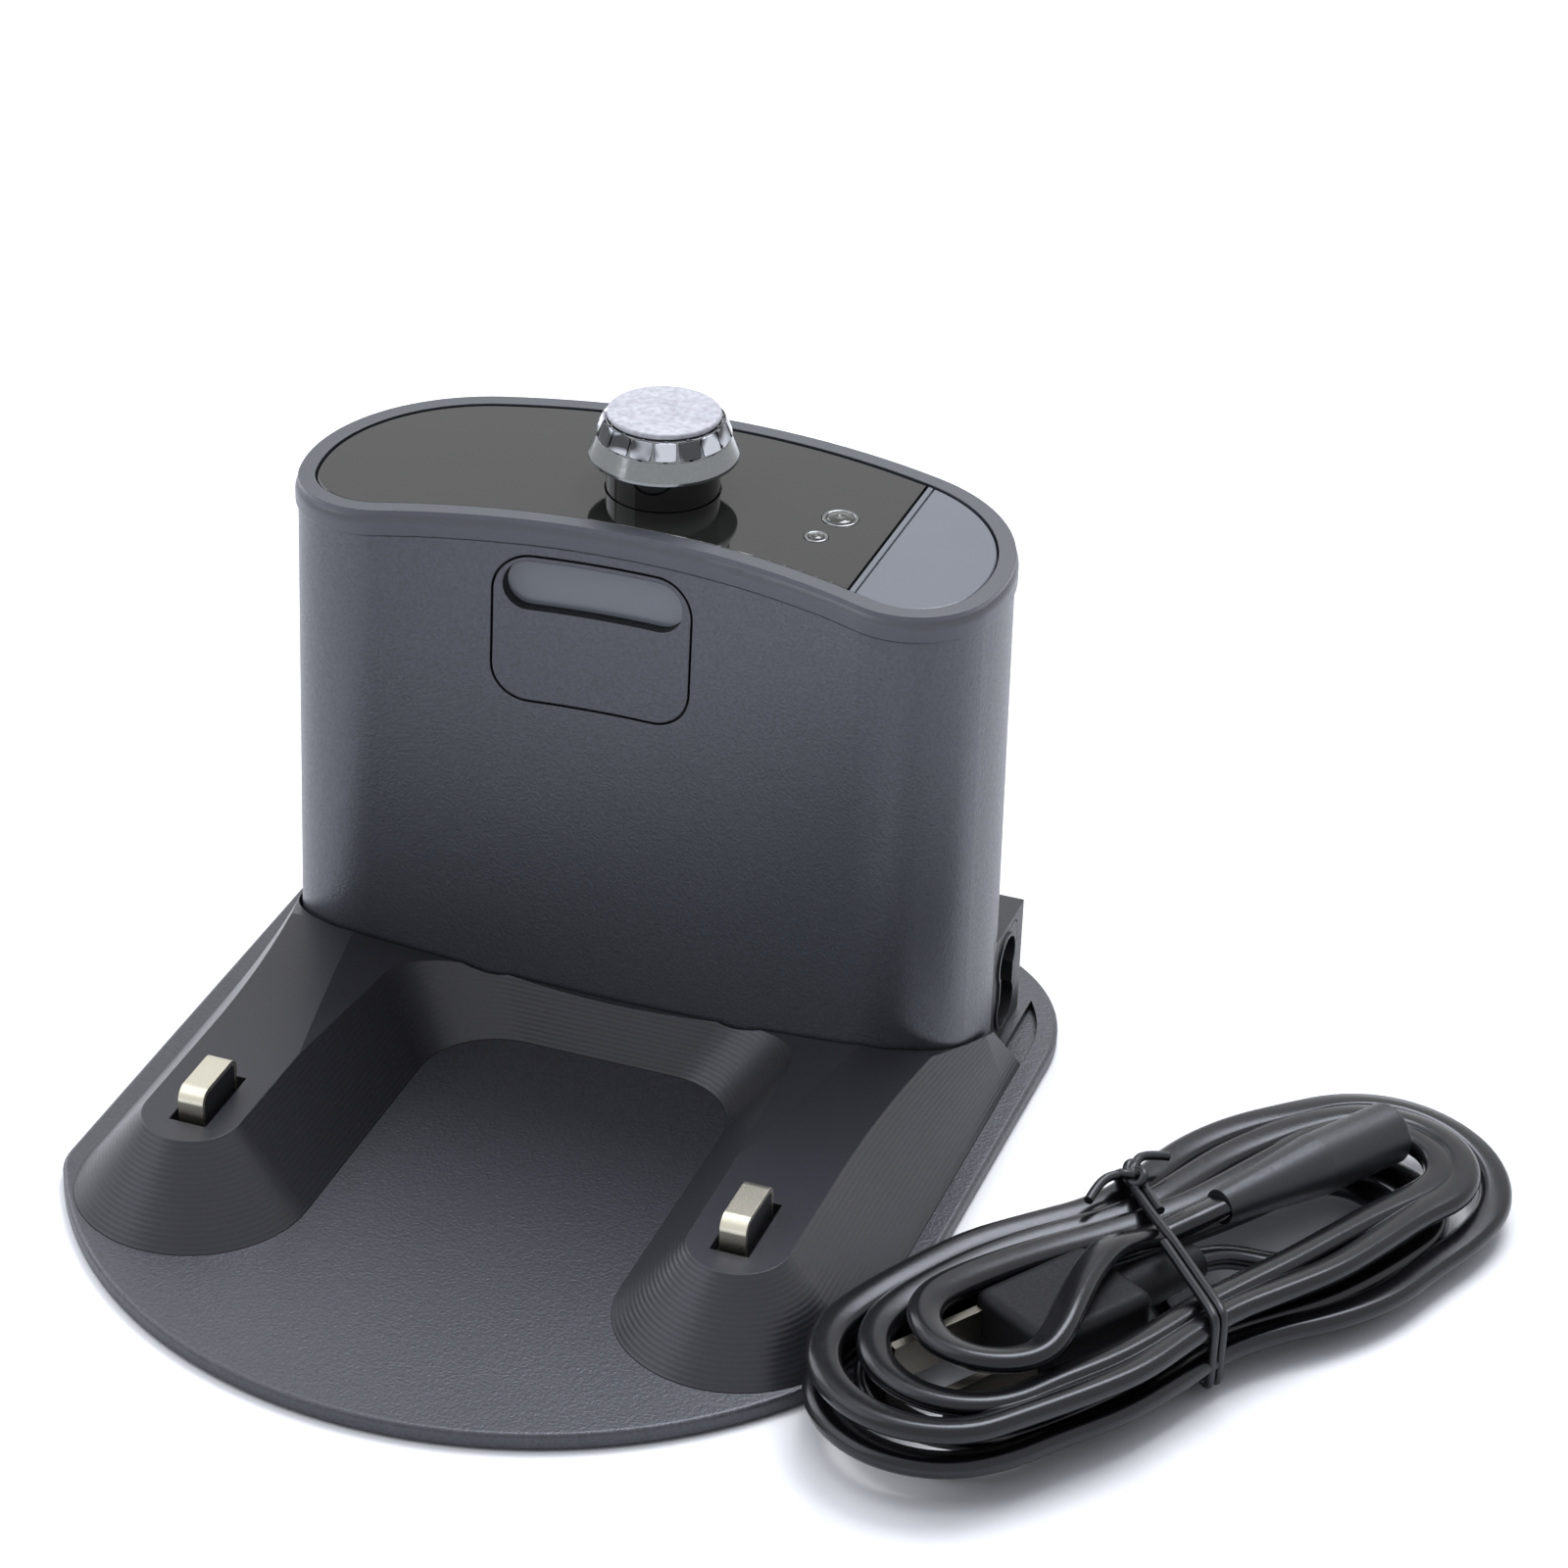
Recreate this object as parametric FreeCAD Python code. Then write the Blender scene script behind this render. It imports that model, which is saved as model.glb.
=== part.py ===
"""Charging dock for a robot vacuum, with its mains lead lying beside it.

Units are millimetres. X is right, Y is back and Z is up. The origin is on the table, under the middle
of the base plate. The robot drives in from the front, which is -Y, and rests on the two sprung contacts.
"""

import math
import os

import FreeCAD
import Part

V = FreeCAD.Vector

# Base plate: a thin moulding with a round front, straight sides and rounded back corners
plate_width = 135.0
plate_depth = 160.0
plate_front_swell = 7.5
plate_front_corner = 10.0
plate_back_corner = 30.0
plate_thickness = 2.4
plate_edge_round = 0.8
foot_proud = 0.6
foot_radius = 6.0
foot_recess = 0.8
foot_clearance = 0.2
foot_front_inset = 17.5
foot_front_y = -28.0
foot_back_inset = 23.5
foot_back_y = 60.0
pocket_front = 46.0
pocket_margin = 1.6
pocket_rim = 3.5
pocket_depth = 1.4

# Ridge cover: a U-shaped ramp with conical skirts, a bay for the robot and a round dip before the tower
ridge_height = 13.6
ridge_wall = 2.2
ridge_rim = 3.5
arm_reach = 36.5
arm_foot_radius = 19.0
arm_top_radius = 8.0
bay_back = 20.0
bay_corner = 13.0
bay_top_back = 27.5
bay_top_flat = 44.8
arm_taper = 0.6
ridge_dip = 5.6
ridge_dip_half = 45.0
ridge_dip_back = 26.0
ridge_dip_slope = 0.045
flare_start = 14.0
flare_end = 37.0
ridge_tail = 60.0
ridge_tail_slope = 0.6
ridge_flare_rim = 9.0
ridge_fall_start = 22.0
ridge_fall_slope = 0.28
inlet_cut_front = 37.0

# Tower: a bean-shaped plan with a hollow front, leaning out a little towards its foot
panel_back = 72.6
panel_front = 34.0
panel_side_margin = 12.28
tower_back_angle = 20.0
tower_end_radius = 28.0
tower_end_angle = 105.0
tower_horn_radius = 9.9
tower_height = 93.7
tower_wall = 2.5
tower_deck = 2.2
rim_width = 3.0
rim_lip = 0.5
rim_lip_height = 4.4
rim_round = 2.2
rim_lip_round = 0.3
foot_spread = 1.0
foot_front_lean = 4.0
seam_clearance = 0.6

# Top panel: a gloss sheet sunk in the rim, split near its right end
panel_thickness = 2.0
panel_sink = 0.2
panel_gap = 0.3
panel_edge_round = 0.35
end_panel_length = 18.6
panel_split_gap = 0.5
end_groove_offset = 1.3
end_groove_width = 0.35
end_groove_depth = 0.5

# Beacon: a smoked neck, a mirror ring with a wide brim, a ribbed light band that draws in, and a cap disc
beacon_x = -1.9
beacon_y = 49.0
beacon_hole_clearance = 0.2
neck_radius = 9.1
neck_wall = 2.0
neck_height = 5.9
flare_radius = 11.95
flare_height = 3.4
flare_lip = 0.5
band_radius = 10.6
band_top_radius = 9.3
band_wall = 1.6
band_height = 3.1
band_ribs = 16
band_rib_depth = 0.35
cap_seat_radius = 8.5
cap_gap = 0.3
cap_radius = 9.05
cap_height = 1.1
cap_round = 0.4

# Status lights in the top panel
status_inset = 9.0
status_y = 49.8
status_radius = 2.9
status_stem_radius = 1.9
pilot_inset = 10.4
pilot_y = 42.4
pilot_radius = 1.9
pilot_stem_radius = 1.3
lens_clearance = 0.1
light_board_width = 16.0
light_board_length = 18.0
light_board_thickness = 1.2
light_post_radius = 1.6
light_post_inset = 2.0
light_pipe_length = 7.0
led_height = 0.9
led_width = 2.2

# Front plaque and its infrared window
plaque_x = -5.9
plaque_drop = 6.4
plaque_width = 32.5
plaque_height = 24.9
plaque_corner = 6.0
plaque_depth = 1.1
plaque_gap = 0.4
window_length = 29.5
window_height = 8.2
window_drop = 4.9
window_sink = 1.9
window_thickness = 1.3
window_clearance = 0.1

# Mains inlet at the right end, with two pins one above the other
inlet_y = 52.5
inlet_z = 13.4
housing_width = 18.0
housing_height = 21.0
housing_depth = 14.0
housing_groove_width = 1.2
housing_groove_depth = 1.0
socket_width = 11.6
socket_height = 18.4
socket_depth = 13.0
socket_clearance = 0.15
cavity_radius = 4.0
cavity_waist = 6.4
cavity_depth = 10.5
cavity_rim = 0.6
cavity_rim_proud = 0.4
socket_corner = 2.0
pin_spacing = 8.6
pin_radius = 1.2
pin_length = 9.0
pin_tail = 3.0

# Charging contacts: plated strips on sprung carriers
contact_inset = 0.5
contact_y = -32.3
contact_proud = 4.8
contact_width = 4.2
contact_length = 12.0
contact_thickness = 0.8
contact_bend = 2.2
contact_skirt = 6.2
contact_seat_gap = 0.05
slot_width = 6.2
slot_length = 14.6
carrier_flange = 1.8
carrier_flange_step = 1.6
carrier_stop_gap = 0.2
spring_wire = 0.6
spring_radius = 2.6
spring_turns = 5
spring_seat_gap = 0.1
spigot_radius = 1.9
spigot_height = 1.6

# Board and what it carries
board_y = 44.6
board_thickness = 1.6
board_margin = 18.2
board_top_gap = 7.2
board_seat_height = 6.0
board_seat_depth = 3.0
board_seat_width = 6.0
board_seat_length = 8.0
board_seat_x = 25.0
board_seat_gap = 0.1
board_notch_margin = 2.0
transformer_size = (24.0, 16.0, 20.0)
transformer_place = (-14.0, 34.0)
bobbin_flange = 1.5
bobbin_step = 2.0
capacitor_radius = 6.0
capacitor_length = 16.0
capacitor_place = (16.0, 30.0)
soft_edge = 0.8
emitter_radius = 2.5
emitter_length = 8.6
emitter_rim = 0.5
emitter_rim_height = 1.0
emitter_spread = 8.0

# Screws from below
screw_radius = 1.25
screw_hole_clearance = 0.15
screw_head_radius = 2.8
screw_head_height = 1.4
screw_length = 11.0
screw_sink = 0.1
boss_radius = 4.0
boss_height = 13.0
boss_hole_depth = 11.2
tower_boss_back_inset = 27.2
tower_boss_back_y = 68.0
tower_boss_front_inset = 25.2
tower_boss_front_y = 27.6
arm_boss_outset = 1.0
arm_boss_y = -8.0

# Mains lead, coiled into a tied hank whose near end rests on the edge of the base plate
hank_near_gap = 13.0
hank_near_y = -46.5
hank_far_gap = 61.5
hank_far_y = 33.0
hank_half_width = 19.0
hank_slot = 8.8
hank_height = 11.5
hank_round = 3.6
hank_rise = 3.5
hank_tilt = 1.6
tie_thickness = 1.2
tie_width = 2.4
tie_clearance = 0.2
tie_share = 0.5
connector_radius = 5.0
connector_length = 17.0
connector_taper = 20.0
lead_tail_radius = 2.8
connector_share = 0.843
connector_across = 3.9
connector_lift = 5.5
plug_length = 22.0
plug_width = 16.6
plug_height = 11.0
plug_round = 2.0
plug_share = 0.25
plug_relief_length = 16.0
plug_relief_radius = 4.2
blade_length = 17.0
blade_width = 6.3
blade_thickness = 1.5
blade_spacing = 12.7
lead_inset = 0.4

# Small working values
cut_margin = 1.0
round_slack = 0.01
tiny = 1e-4

# Levels and places worked out from the sizes above
plate_top = foot_proud + plate_thickness
ridge_top = plate_top + ridge_height
half_width = plate_width / 2
plate_front = -plate_depth / 2
plate_back = plate_depth / 2
plate_front_radius = half_width + plate_front_swell
foot_front_place = (half_width - foot_front_inset, foot_front_y)
foot_back_place = (half_width - foot_back_inset, foot_back_y)
ridge_side = half_width - ridge_rim
arm_x = ridge_side - arm_foot_radius
arm_top_inner = arm_x - arm_top_radius - arm_taper
bay_top_corner = arm_top_inner - bay_top_flat / 2
panel_half = half_width - panel_side_margin
tower_back_spread = (panel_half - tower_end_radius) / math.sin(math.radians(tower_back_angle))
tower_back_radius = tower_end_radius + tower_back_spread
deck_top = tower_height - panel_sink - panel_thickness
panel_top = tower_height - panel_sink
panel_split_x = panel_half - end_panel_length
beacon_place = (beacon_x, beacon_y)
status_place = (panel_split_x - status_inset, status_y)
pilot_place = (panel_split_x - pilot_inset, pilot_y)
plaque_top = tower_height - plaque_drop
window_z = plaque_top - window_drop
inlet_face_x = panel_half + rim_width
contact_x = arm_x - contact_inset
contact_top = ridge_top + contact_proud
slot_under = ridge_top - ridge_wall
board_width = 2 * (panel_half - board_margin)
board_top = tower_height - board_top_gap
tower_boss_back = (panel_half - tower_boss_back_inset, tower_boss_back_y)
tower_boss_front = (panel_half - tower_boss_front_inset, tower_boss_front_y)
arm_boss_place = (arm_x + arm_boss_outset, arm_boss_y)
hank_near = (half_width + hank_near_gap, hank_near_y)
hank_far = (half_width + hank_far_gap, hank_far_y)


def polar(centre, radius, angle):
    """Point at an angle measured from +Y towards +X, in radians."""
    return (centre[0] + radius * math.sin(angle), centre[1] + radius * math.cos(angle))


def at(point, z):
    """Flat point lifted to a height."""
    return V(point[0], point[1], z)


def arc(a, middle, b, z):
    """Arc edge through three flat points at one height."""
    return Part.Arc(at(a, z), at(middle, z), at(b, z)).toShape()


def line(a, b, z):
    """Straight edge between two flat points at one height."""
    return Part.LineSegment(at(a, z), at(b, z)).toShape()


def flip(point):
    """Mirror of a flat point in the plane x = 0."""
    return (-point[0], point[1])


def prism(wire, height):
    """Solid above a flat wire."""
    return Part.Face(wire).extrude(V(0, 0, height))


def block(x, y, z, size_x, size_y, size_z):
    """Box from its lowest corner."""
    return Part.makeBox(size_x, size_y, size_z, V(x, y, z))


def rod(centre, radius, z, height):
    """Upright cylinder."""
    return Part.makeCylinder(radius, height, at(centre, z))


def save(name, *shapes):
    """Write one node."""
    shape = shapes[0] if len(shapes) == 1 else Part.makeCompound(list(shapes))
    shape.removeSplitter().exportStep(os.path.join("parts", name + ".step"))


def edges_at(shape, z):
    """Edges of a shape that lie at one height."""
    found = []
    for edge in shape.Edges:
        box = edge.BoundBox
        if abs(box.ZMin - z) < tiny and abs(box.ZMax - z) < tiny:
            found.append(edge)
    return found


def bean_wire(z, offset, front):
    """Tower outline at a height, grown by an offset, with the middle of its hollow front at y = front."""
    first, second = math.radians(tower_back_angle), math.radians(tower_end_angle)
    back_centre = (0.0, panel_back - tower_back_radius)
    end_centre = polar(back_centre, tower_back_radius - tower_end_radius, first)
    horn_centre = polar(end_centre, tower_end_radius - tower_horn_radius, second)
    back_r = tower_back_radius + offset
    end_r = tower_end_radius + offset
    horn_r = tower_horn_radius + offset
    reach = front + horn_r
    front_y = (reach ** 2 - horn_centre[0] ** 2 - horn_centre[1] ** 2) / (2 * (reach - horn_centre[1]))
    front_centre = (0.0, front_y)
    front_r = front - front_y
    third = math.atan2(horn_centre[0], horn_centre[1] - front_y)
    back_point = polar(back_centre, back_r, first)
    end_middle = polar(end_centre, end_r, (first + second) / 2)
    end_point = polar(end_centre, end_r, second)
    horn_middle = polar(horn_centre, horn_r, (second + third + math.pi) / 2)
    horn_point = polar(front_centre, front_r, third)
    return Part.Wire([
        arc(flip(back_point), (0.0, panel_back + offset), back_point, z),
        arc(back_point, end_middle, end_point, z),
        arc(end_point, horn_middle, horn_point, z),
        arc(horn_point, (0.0, front), flip(horn_point), z),
        arc(flip(horn_point), flip(horn_middle), flip(end_point), z),
        arc(flip(end_point), flip(end_middle), flip(back_point), z)])


def bean_prism(z, height, offset):
    """Upright bean-shaped solid, offset from the top panel's outline."""
    return prism(bean_wire(z, offset, panel_front - offset), height)


def tower_form(inset):
    """Tower's outer form with its draft, shrunk by an inset; the front leans out towards the foot."""
    top = rim_width - inset
    foot = top + foot_spread
    return Part.makeLoft([
        bean_wire(plate_top, foot, panel_front - foot - foot_front_lean),
        bean_wire(tower_height, top, panel_front - top)], True, True)


def plate_wire(z):
    """Outline of the base plate."""
    centre = (0.0, plate_front + plate_front_radius)
    # Corner circle inside the front arc and tangent to the straight side
    inner = plate_front_radius - plate_front_corner
    corner_x = half_width - plate_front_corner
    corner = (corner_x, centre[1] - math.sqrt(inner ** 2 - corner_x ** 2))
    turn = math.atan2(corner[0], corner[1] - centre[1])
    front_point = polar(centre, plate_front_radius, turn)
    side_point = (half_width, corner[1])
    corner_middle = polar(corner, plate_front_corner, (turn + math.pi / 2) / 2)
    back_corner = (half_width - plate_back_corner, plate_back - plate_back_corner)
    high_point = (half_width, back_corner[1])
    back_point = (back_corner[0], plate_back)
    back_middle = polar(back_corner, plate_back_corner, math.pi / 4)
    return Part.Wire([
        arc(flip(front_point), (0.0, plate_front), front_point, z),
        arc(front_point, corner_middle, side_point, z),
        line(side_point, high_point, z),
        arc(high_point, back_middle, back_point, z),
        line(back_point, flip(back_point), z),
        arc(flip(back_point), flip(back_middle), flip(high_point), z),
        line(flip(high_point), flip(side_point), z),
        arc(flip(side_point), flip(corner_middle), flip(front_point), z)])


def ridge_wire(z, arm_radius, outer, flare, inner, back, corner):
    """U-shaped outline of the ridge at one height.

    The outer side runs straight at x = outer, then flares to x = flare beside the tower. The inner side
    runs from the arm's round end to x = inner, and turns into the bay's back through a round corner.
    """
    tip_y = -arm_reach
    tail = (flare, ridge_tail)
    flare_point = (flare, flare_end)
    bend = (outer, -flare_start)
    sag = (flare - outer) / 4
    flare_middle = (outer + sag, (flare_end - flare_start) / 2)
    outer_tip = (arm_x + arm_radius, tip_y)
    inner_tip = (arm_x - arm_radius, tip_y)
    inner_end = (inner, back - corner)
    corner_middle = polar((inner - corner, back - corner), corner, math.pi / 4)
    back_end = (inner - corner, back)
    front_tip = (arm_x, tip_y - arm_radius)
    straight = abs(flare - outer) < tiny

    def flare_edge(a, middle, b):
        return line(a, b, z) if straight else arc(a, middle, b, z)

    right = [
        line(tail, flare_point, z),
        flare_edge(flare_point, flare_middle, bend),
        line(bend, outer_tip, z),
        arc(outer_tip, front_tip, inner_tip, z),
        line(inner_tip, inner_end, z),
        arc(inner_end, corner_middle, back_end, z)]
    left = [
        arc(flip(back_end), flip(corner_middle), flip(inner_end), z),
        line(flip(inner_end), flip(inner_tip), z),
        arc(flip(inner_tip), flip(front_tip), flip(outer_tip), z),
        line(flip(outer_tip), flip(bend), z),
        flare_edge(flip(bend), flip(flare_middle), flip(flare_point)),
        line(flip(flare_point), flip(tail), z)]
    across = line(back_end, flip(back_end), z)
    closing = line(flip(tail), tail, z)
    return Part.Wire(right + [across] + left + [closing])


def ridge_form(inset):
    """Ridge as one solid between its foot and the level of its top, shrunk by an inset."""
    side_run = arm_foot_radius - arm_top_radius
    foot = ridge_wire(
        plate_top, arm_foot_radius - inset, ridge_side - inset, ridge_side - inset,
        arm_x - arm_foot_radius + inset, bay_back + inset, bay_corner)
    top = ridge_wire(
        ridge_top - inset, arm_top_radius - inset / 2, ridge_side - side_run - inset / 2,
        half_width - ridge_flare_rim - inset, arm_top_inner + inset / 2,
        bay_top_back + inset, bay_top_corner)
    return Part.makeLoft([foot, top], True, True)


def ridge_ends(inset):
    """What is cut from the ridge's ends, drawn in by an inset.

    Its top falls away beside the tower. Its tails end in slopes, at the back on the left and ahead of the
    mains inlet on the right.
    """
    def wedge(points, start_x, width):
        corners = [V(start_x, y, z) for y, z in points]
        return Part.Face(Part.makePolygon(corners + corners[:1])).extrude(V(width, 0, 0))
    drop = (plate_back - ridge_fall_start) * ridge_fall_slope
    top = ridge_top - inset
    fall = [(ridge_fall_start, top), (plate_back, top - drop), (plate_back, tower_height),
            (ridge_fall_start, tower_height)]
    ends = wedge(fall, -half_width, plate_width)
    run = ridge_height * ridge_tail_slope
    for start_x, front in ((-half_width, ridge_tail - run), (0.0, inlet_cut_front)):
        tail = [(front - inset, ridge_top), (front - inset + run, plate_top), (plate_back, plate_top),
                (plate_back, tower_height), (front - inset, tower_height)]
        ends = ends.fuse(wedge(tail, start_x, half_width))
    return ends


def ridge_dish(inset):
    """Wide round hollow across the ridge's top, deepest at the tower's foot and running out to the front."""
    radius = (ridge_dip_half ** 2 + ridge_dip ** 2) / (2 * ridge_dip)
    low = ridge_top - inset - ridge_dip - (plate_back - ridge_dip_back) * ridge_dip_slope
    start = V(0, plate_back, low + radius * math.hypot(1, ridge_dip_slope))
    return Part.makeCylinder(radius, 2 * plate_depth, start, V(0, -1, ridge_dip_slope))


def make_base_plate():
    """Base plate with its screw holes, feet recesses, spring spigots and board seats."""
    plate = prism(plate_wire(foot_proud), plate_thickness)
    plate = plate.makeFillet(plate_edge_round, edges_at(plate, plate_top))
    plate = plate.cut(inlet_pocket())
    for x, y in foot_places():
        plate = plate.cut(rod((x, y), foot_radius + foot_clearance, foot_proud, foot_recess))
    for place in screw_places():
        plate = plate.cut(rod(place, screw_radius + screw_hole_clearance, 0, plate_top))
        plate = plate.cut(rod(place, screw_head_radius + screw_hole_clearance, 0, head_seat()))
    for side in (-1, 1):
        plate = plate.fuse(rod((side * contact_x, contact_y), spigot_radius, plate_top, spigot_height))
        seat_x = side * board_seat_x - board_seat_width / 2
        seat_y = board_y + board_thickness / 2 - board_seat_length / 2
        seat = block(seat_x, seat_y, plate_top, board_seat_width, board_seat_length,
                     board_seat_height + board_seat_depth)
        slot = block(seat_x, board_y - board_seat_gap, plate_top + board_seat_height, board_seat_width,
                     board_thickness + 2 * board_seat_gap, board_seat_depth)
        plate = plate.fuse(seat.cut(slot))
    return plate


def inlet_pocket():
    """Shallow pocket in the plate below the mains inlet, which leaves a rim at the plate's edge."""
    inner = plate_wire(plate_top - pocket_depth).makeOffset2D(-pocket_rim)
    side = block(inlet_face_x + pocket_margin, pocket_front, 0, half_width, plate_back - pocket_front,
                 tower_height)
    return prism(inner, pocket_depth + cut_margin).common(side)


def foot_places():
    """Middles of the four rubber feet."""
    return [(side * x, y) for side in (-1, 1) for x, y in (foot_front_place, foot_back_place)]


def screw_places():
    """Middles of the screws, two for the arms and four for the tower."""
    return [(side * x, y) for side in (-1, 1) for x, y in (arm_boss_place, tower_boss_back, tower_boss_front)]


def head_seat():
    """Height of the shoulder that the screw heads pull against."""
    return foot_proud + screw_sink + screw_head_height


def make_ridge_cover():
    """Ridge cover: hollow below, open for the tower, with slots for the contacts and two screw bosses."""
    outer = ridge_form(0.0)
    hollow = ridge_form(ridge_wall).cut(ridge_ends(ridge_wall)).cut(ridge_dish(ridge_wall))
    bosses = [rod((side * arm_boss_place[0], arm_boss_place[1]), boss_radius, plate_top, ridge_height)
              for side in (-1, 1)]
    cover = outer.cut(hollow)
    for boss in bosses:
        cover = cover.fuse(boss.common(outer))
    cover = cover.cut(tower_form(-seam_clearance)).cut(ridge_ends(0.0)).cut(ridge_dish(0.0))
    for side in (-1, 1):
        cover = cover.cut(block(side * contact_x - slot_width / 2, contact_y - slot_length / 2, plate_top,
                                slot_width, slot_length, ridge_height))
        place = (side * arm_boss_place[0], arm_boss_place[1])
        cover = cover.cut(rod(place, screw_radius + screw_hole_clearance, plate_top, boss_hole_depth))
    return biggest(cover)


def biggest(shape):
    """Largest solid of a cut shape, without the offcuts."""
    return max(shape.Solids, key=lambda solid: solid.Volume)


def upright_outline(x, z, width, height, corner):
    """Rounded rectangle in the XZ plane, as a solid that runs through the tower's front wall."""
    box = block(x - width / 2, 0, z - height / 2, width, panel_back / 2 + panel_front / 2, height)
    through = [edge for edge in box.Edges if edge.BoundBox.XLength + edge.BoundBox.ZLength < tiny]
    return box.makeFillet(corner, through)


def plaque_block(grow):
    """Rounded block that cuts out the plaque, grown by a gap."""
    return upright_outline(plaque_x, plaque_top - plaque_height / 2, plaque_width + 2 * grow,
                           plaque_height + 2 * grow, plaque_corner + grow)


def window_block(grow):
    """Stadium block that cuts out the window, grown by a gap."""
    height = window_height + 2 * grow
    return upright_outline(plaque_x, window_z, window_length - window_height + height, height,
                           height / 2 - round_slack)


def wall_layer(outside, inside):
    """Layer of the tower's wall between two depths."""
    return tower_form(outside).cut(tower_form(inside))


def inlet_housing():
    """Flat-faced block on the tower's end that holds the mains inlet."""
    return block(inlet_face_x - housing_depth, inlet_y - housing_width / 2, plate_top, housing_depth,
                 housing_width, housing_height)


def make_tower_shell():
    """Tower shell: drafted walls, a lipped rim, a deck under the panel and the openings in them."""
    lip_low = tower_height - rim_lip_height
    lip = bean_prism(lip_low, rim_lip_height, rim_width + rim_lip)
    lip = lip.makeFillet(rim_round, edges_at(lip, tower_height))
    lip = lip.makeFillet(rim_lip_round, edges_at(lip, lip_low))
    outer = tower_form(0.0).fuse(lip)
    hollow = tower_form(tower_wall).common(
        block(-plate_width, -plate_depth, plate_top, 2 * plate_width, 2 * plate_depth,
              deck_top - tower_deck - plate_top))
    shell = outer.cut(bean_prism(deck_top, tower_height, panel_gap)).cut(hollow)
    shell = shell.fuse(inlet_housing())
    # The housing's face stands flat where the wall would bulge past it
    shell = shell.cut(block(inlet_face_x, inlet_y - housing_width / 2, plate_top, tower_wall * 4,
                            housing_width, housing_height))
    shell = shell.cut(block(inlet_face_x - housing_groove_depth, inlet_y - housing_width / 2, plate_top,
                            housing_groove_depth, housing_groove_width, housing_height))
    shell = shell.cut(socket_block(socket_clearance, housing_depth))
    for side in (-1, 1):
        for x, y in (tower_boss_back, tower_boss_front):
            boss = rod((side * x, y), boss_radius, plate_top, boss_height).common(tower_form(tower_wall / 2))
            shell = shell.fuse(boss)
    for place in screw_places():
        shell = shell.cut(rod(place, screw_radius + screw_hole_clearance, plate_top, boss_hole_depth))
    shell = shell.cut(plaque_block(plaque_gap).common(wall_layer(-cut_margin, plaque_depth)))
    shell = shell.cut(
        window_block(window_clearance).common(wall_layer(-cut_margin, tower_wall + cut_margin)))
    deck_low = deck_top - tower_deck
    for place, radius in ((beacon_place, emitter_radius + emitter_rim), (status_place, status_stem_radius),
                          (pilot_place, pilot_stem_radius)):
        shell = shell.cut(rod(place, radius + lens_clearance, deck_low - cut_margin, tower_height))
    for post in light_board_posts():
        shell = shell.fuse(post)
    return shell


def socket_block(grow, depth):
    """Rounded body of the mains inlet, grown by a clearance."""
    width, height = socket_width + 2 * grow, socket_height + 2 * grow
    box = block(inlet_face_x - depth, inlet_y - width / 2, inlet_z - height / 2, depth + grow, width, height)
    along = [edge for edge in box.Edges if edge.BoundBox.XLength > depth / 2]
    return box.makeFillet(socket_corner, along)


def cavity_form(grow, start_x, depth):
    """Figure-of-eight form of the inlet's cavity along X, grown by a rim."""
    width = cavity_waist + 2 * grow
    form = block(start_x, inlet_y - width / 2, inlet_z - pin_spacing / 2, depth, width, pin_spacing)
    for side in (-1, 1):
        end = V(start_x, inlet_y, inlet_z + side * pin_spacing / 2)
        form = form.fuse(Part.makeCylinder(cavity_radius + grow, depth, end, V(1, 0, 0)))
    return form


def make_inlet():
    """Inlet socket with a thin rim about its figure-of-eight cavity, and the two pins."""
    body = socket_block(0.0, socket_depth).common(
        block(0, 0, 0, inlet_face_x, plate_back, tower_height))
    body = body.fuse(cavity_form(cavity_rim, inlet_face_x - cavity_rim, cavity_rim + cavity_rim_proud))
    body = body.cut(cavity_form(0.0, inlet_face_x - cavity_depth, cavity_depth + cavity_rim_proud))
    pins = []
    for side in (-1, 1):
        tail = V(inlet_face_x - socket_depth - pin_tail, inlet_y, inlet_z + side * pin_spacing / 2)
        length = socket_depth - cavity_depth + pin_tail + pin_length
        body = body.cut(Part.makeCylinder(pin_radius + lens_clearance, socket_depth, tail, V(1, 0, 0)))
        pin = Part.makeCylinder(pin_radius, length, tail, V(1, 0, 0))
        tip = [edge for edge in pin.Edges if edge.BoundBox.XMin > tail.x + length - tiny]
        pins.append(pin.makeFillet(pin_radius / 2, tip))
    return body, pins


def make_panels():
    """Gloss top panel and the satin panel at its right end."""
    sheet = bean_prism(deck_top, panel_thickness, 0.0)
    sheet = sheet.makeFillet(panel_edge_round, edges_at(sheet, panel_top))
    far = plate_width
    left = sheet.common(block(-far, -far, 0, far + panel_split_x - panel_split_gap / 2, 2 * far, 2 * far))
    right = sheet.common(block(panel_split_x + panel_split_gap / 2, -far, 0, far, 2 * far, 2 * far))
    right = right.cut(block(panel_split_x + end_groove_offset - end_groove_width / 2, -far,
                            panel_top - end_groove_depth, end_groove_width, 2 * far, end_groove_depth))
    left = left.cut(rod(beacon_place, neck_radius + beacon_hole_clearance, 0, tower_height * 2))
    left = left.cut(rod(status_place, status_radius + lens_clearance, 0, tower_height * 2))
    left = left.cut(rod(pilot_place, pilot_radius + lens_clearance, 0, tower_height * 2))
    return left, right


def turned(points):
    """Solid of revolution about the beacon's axis from (radius, height) points."""
    outline = [V(beacon_x + radius, beacon_y, z) for radius, z in points]
    face = Part.Face(Part.makePolygon(outline + outline[:1]))
    return face.revolve(at(beacon_place, 0), V(0, 0, 1), 360)


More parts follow.
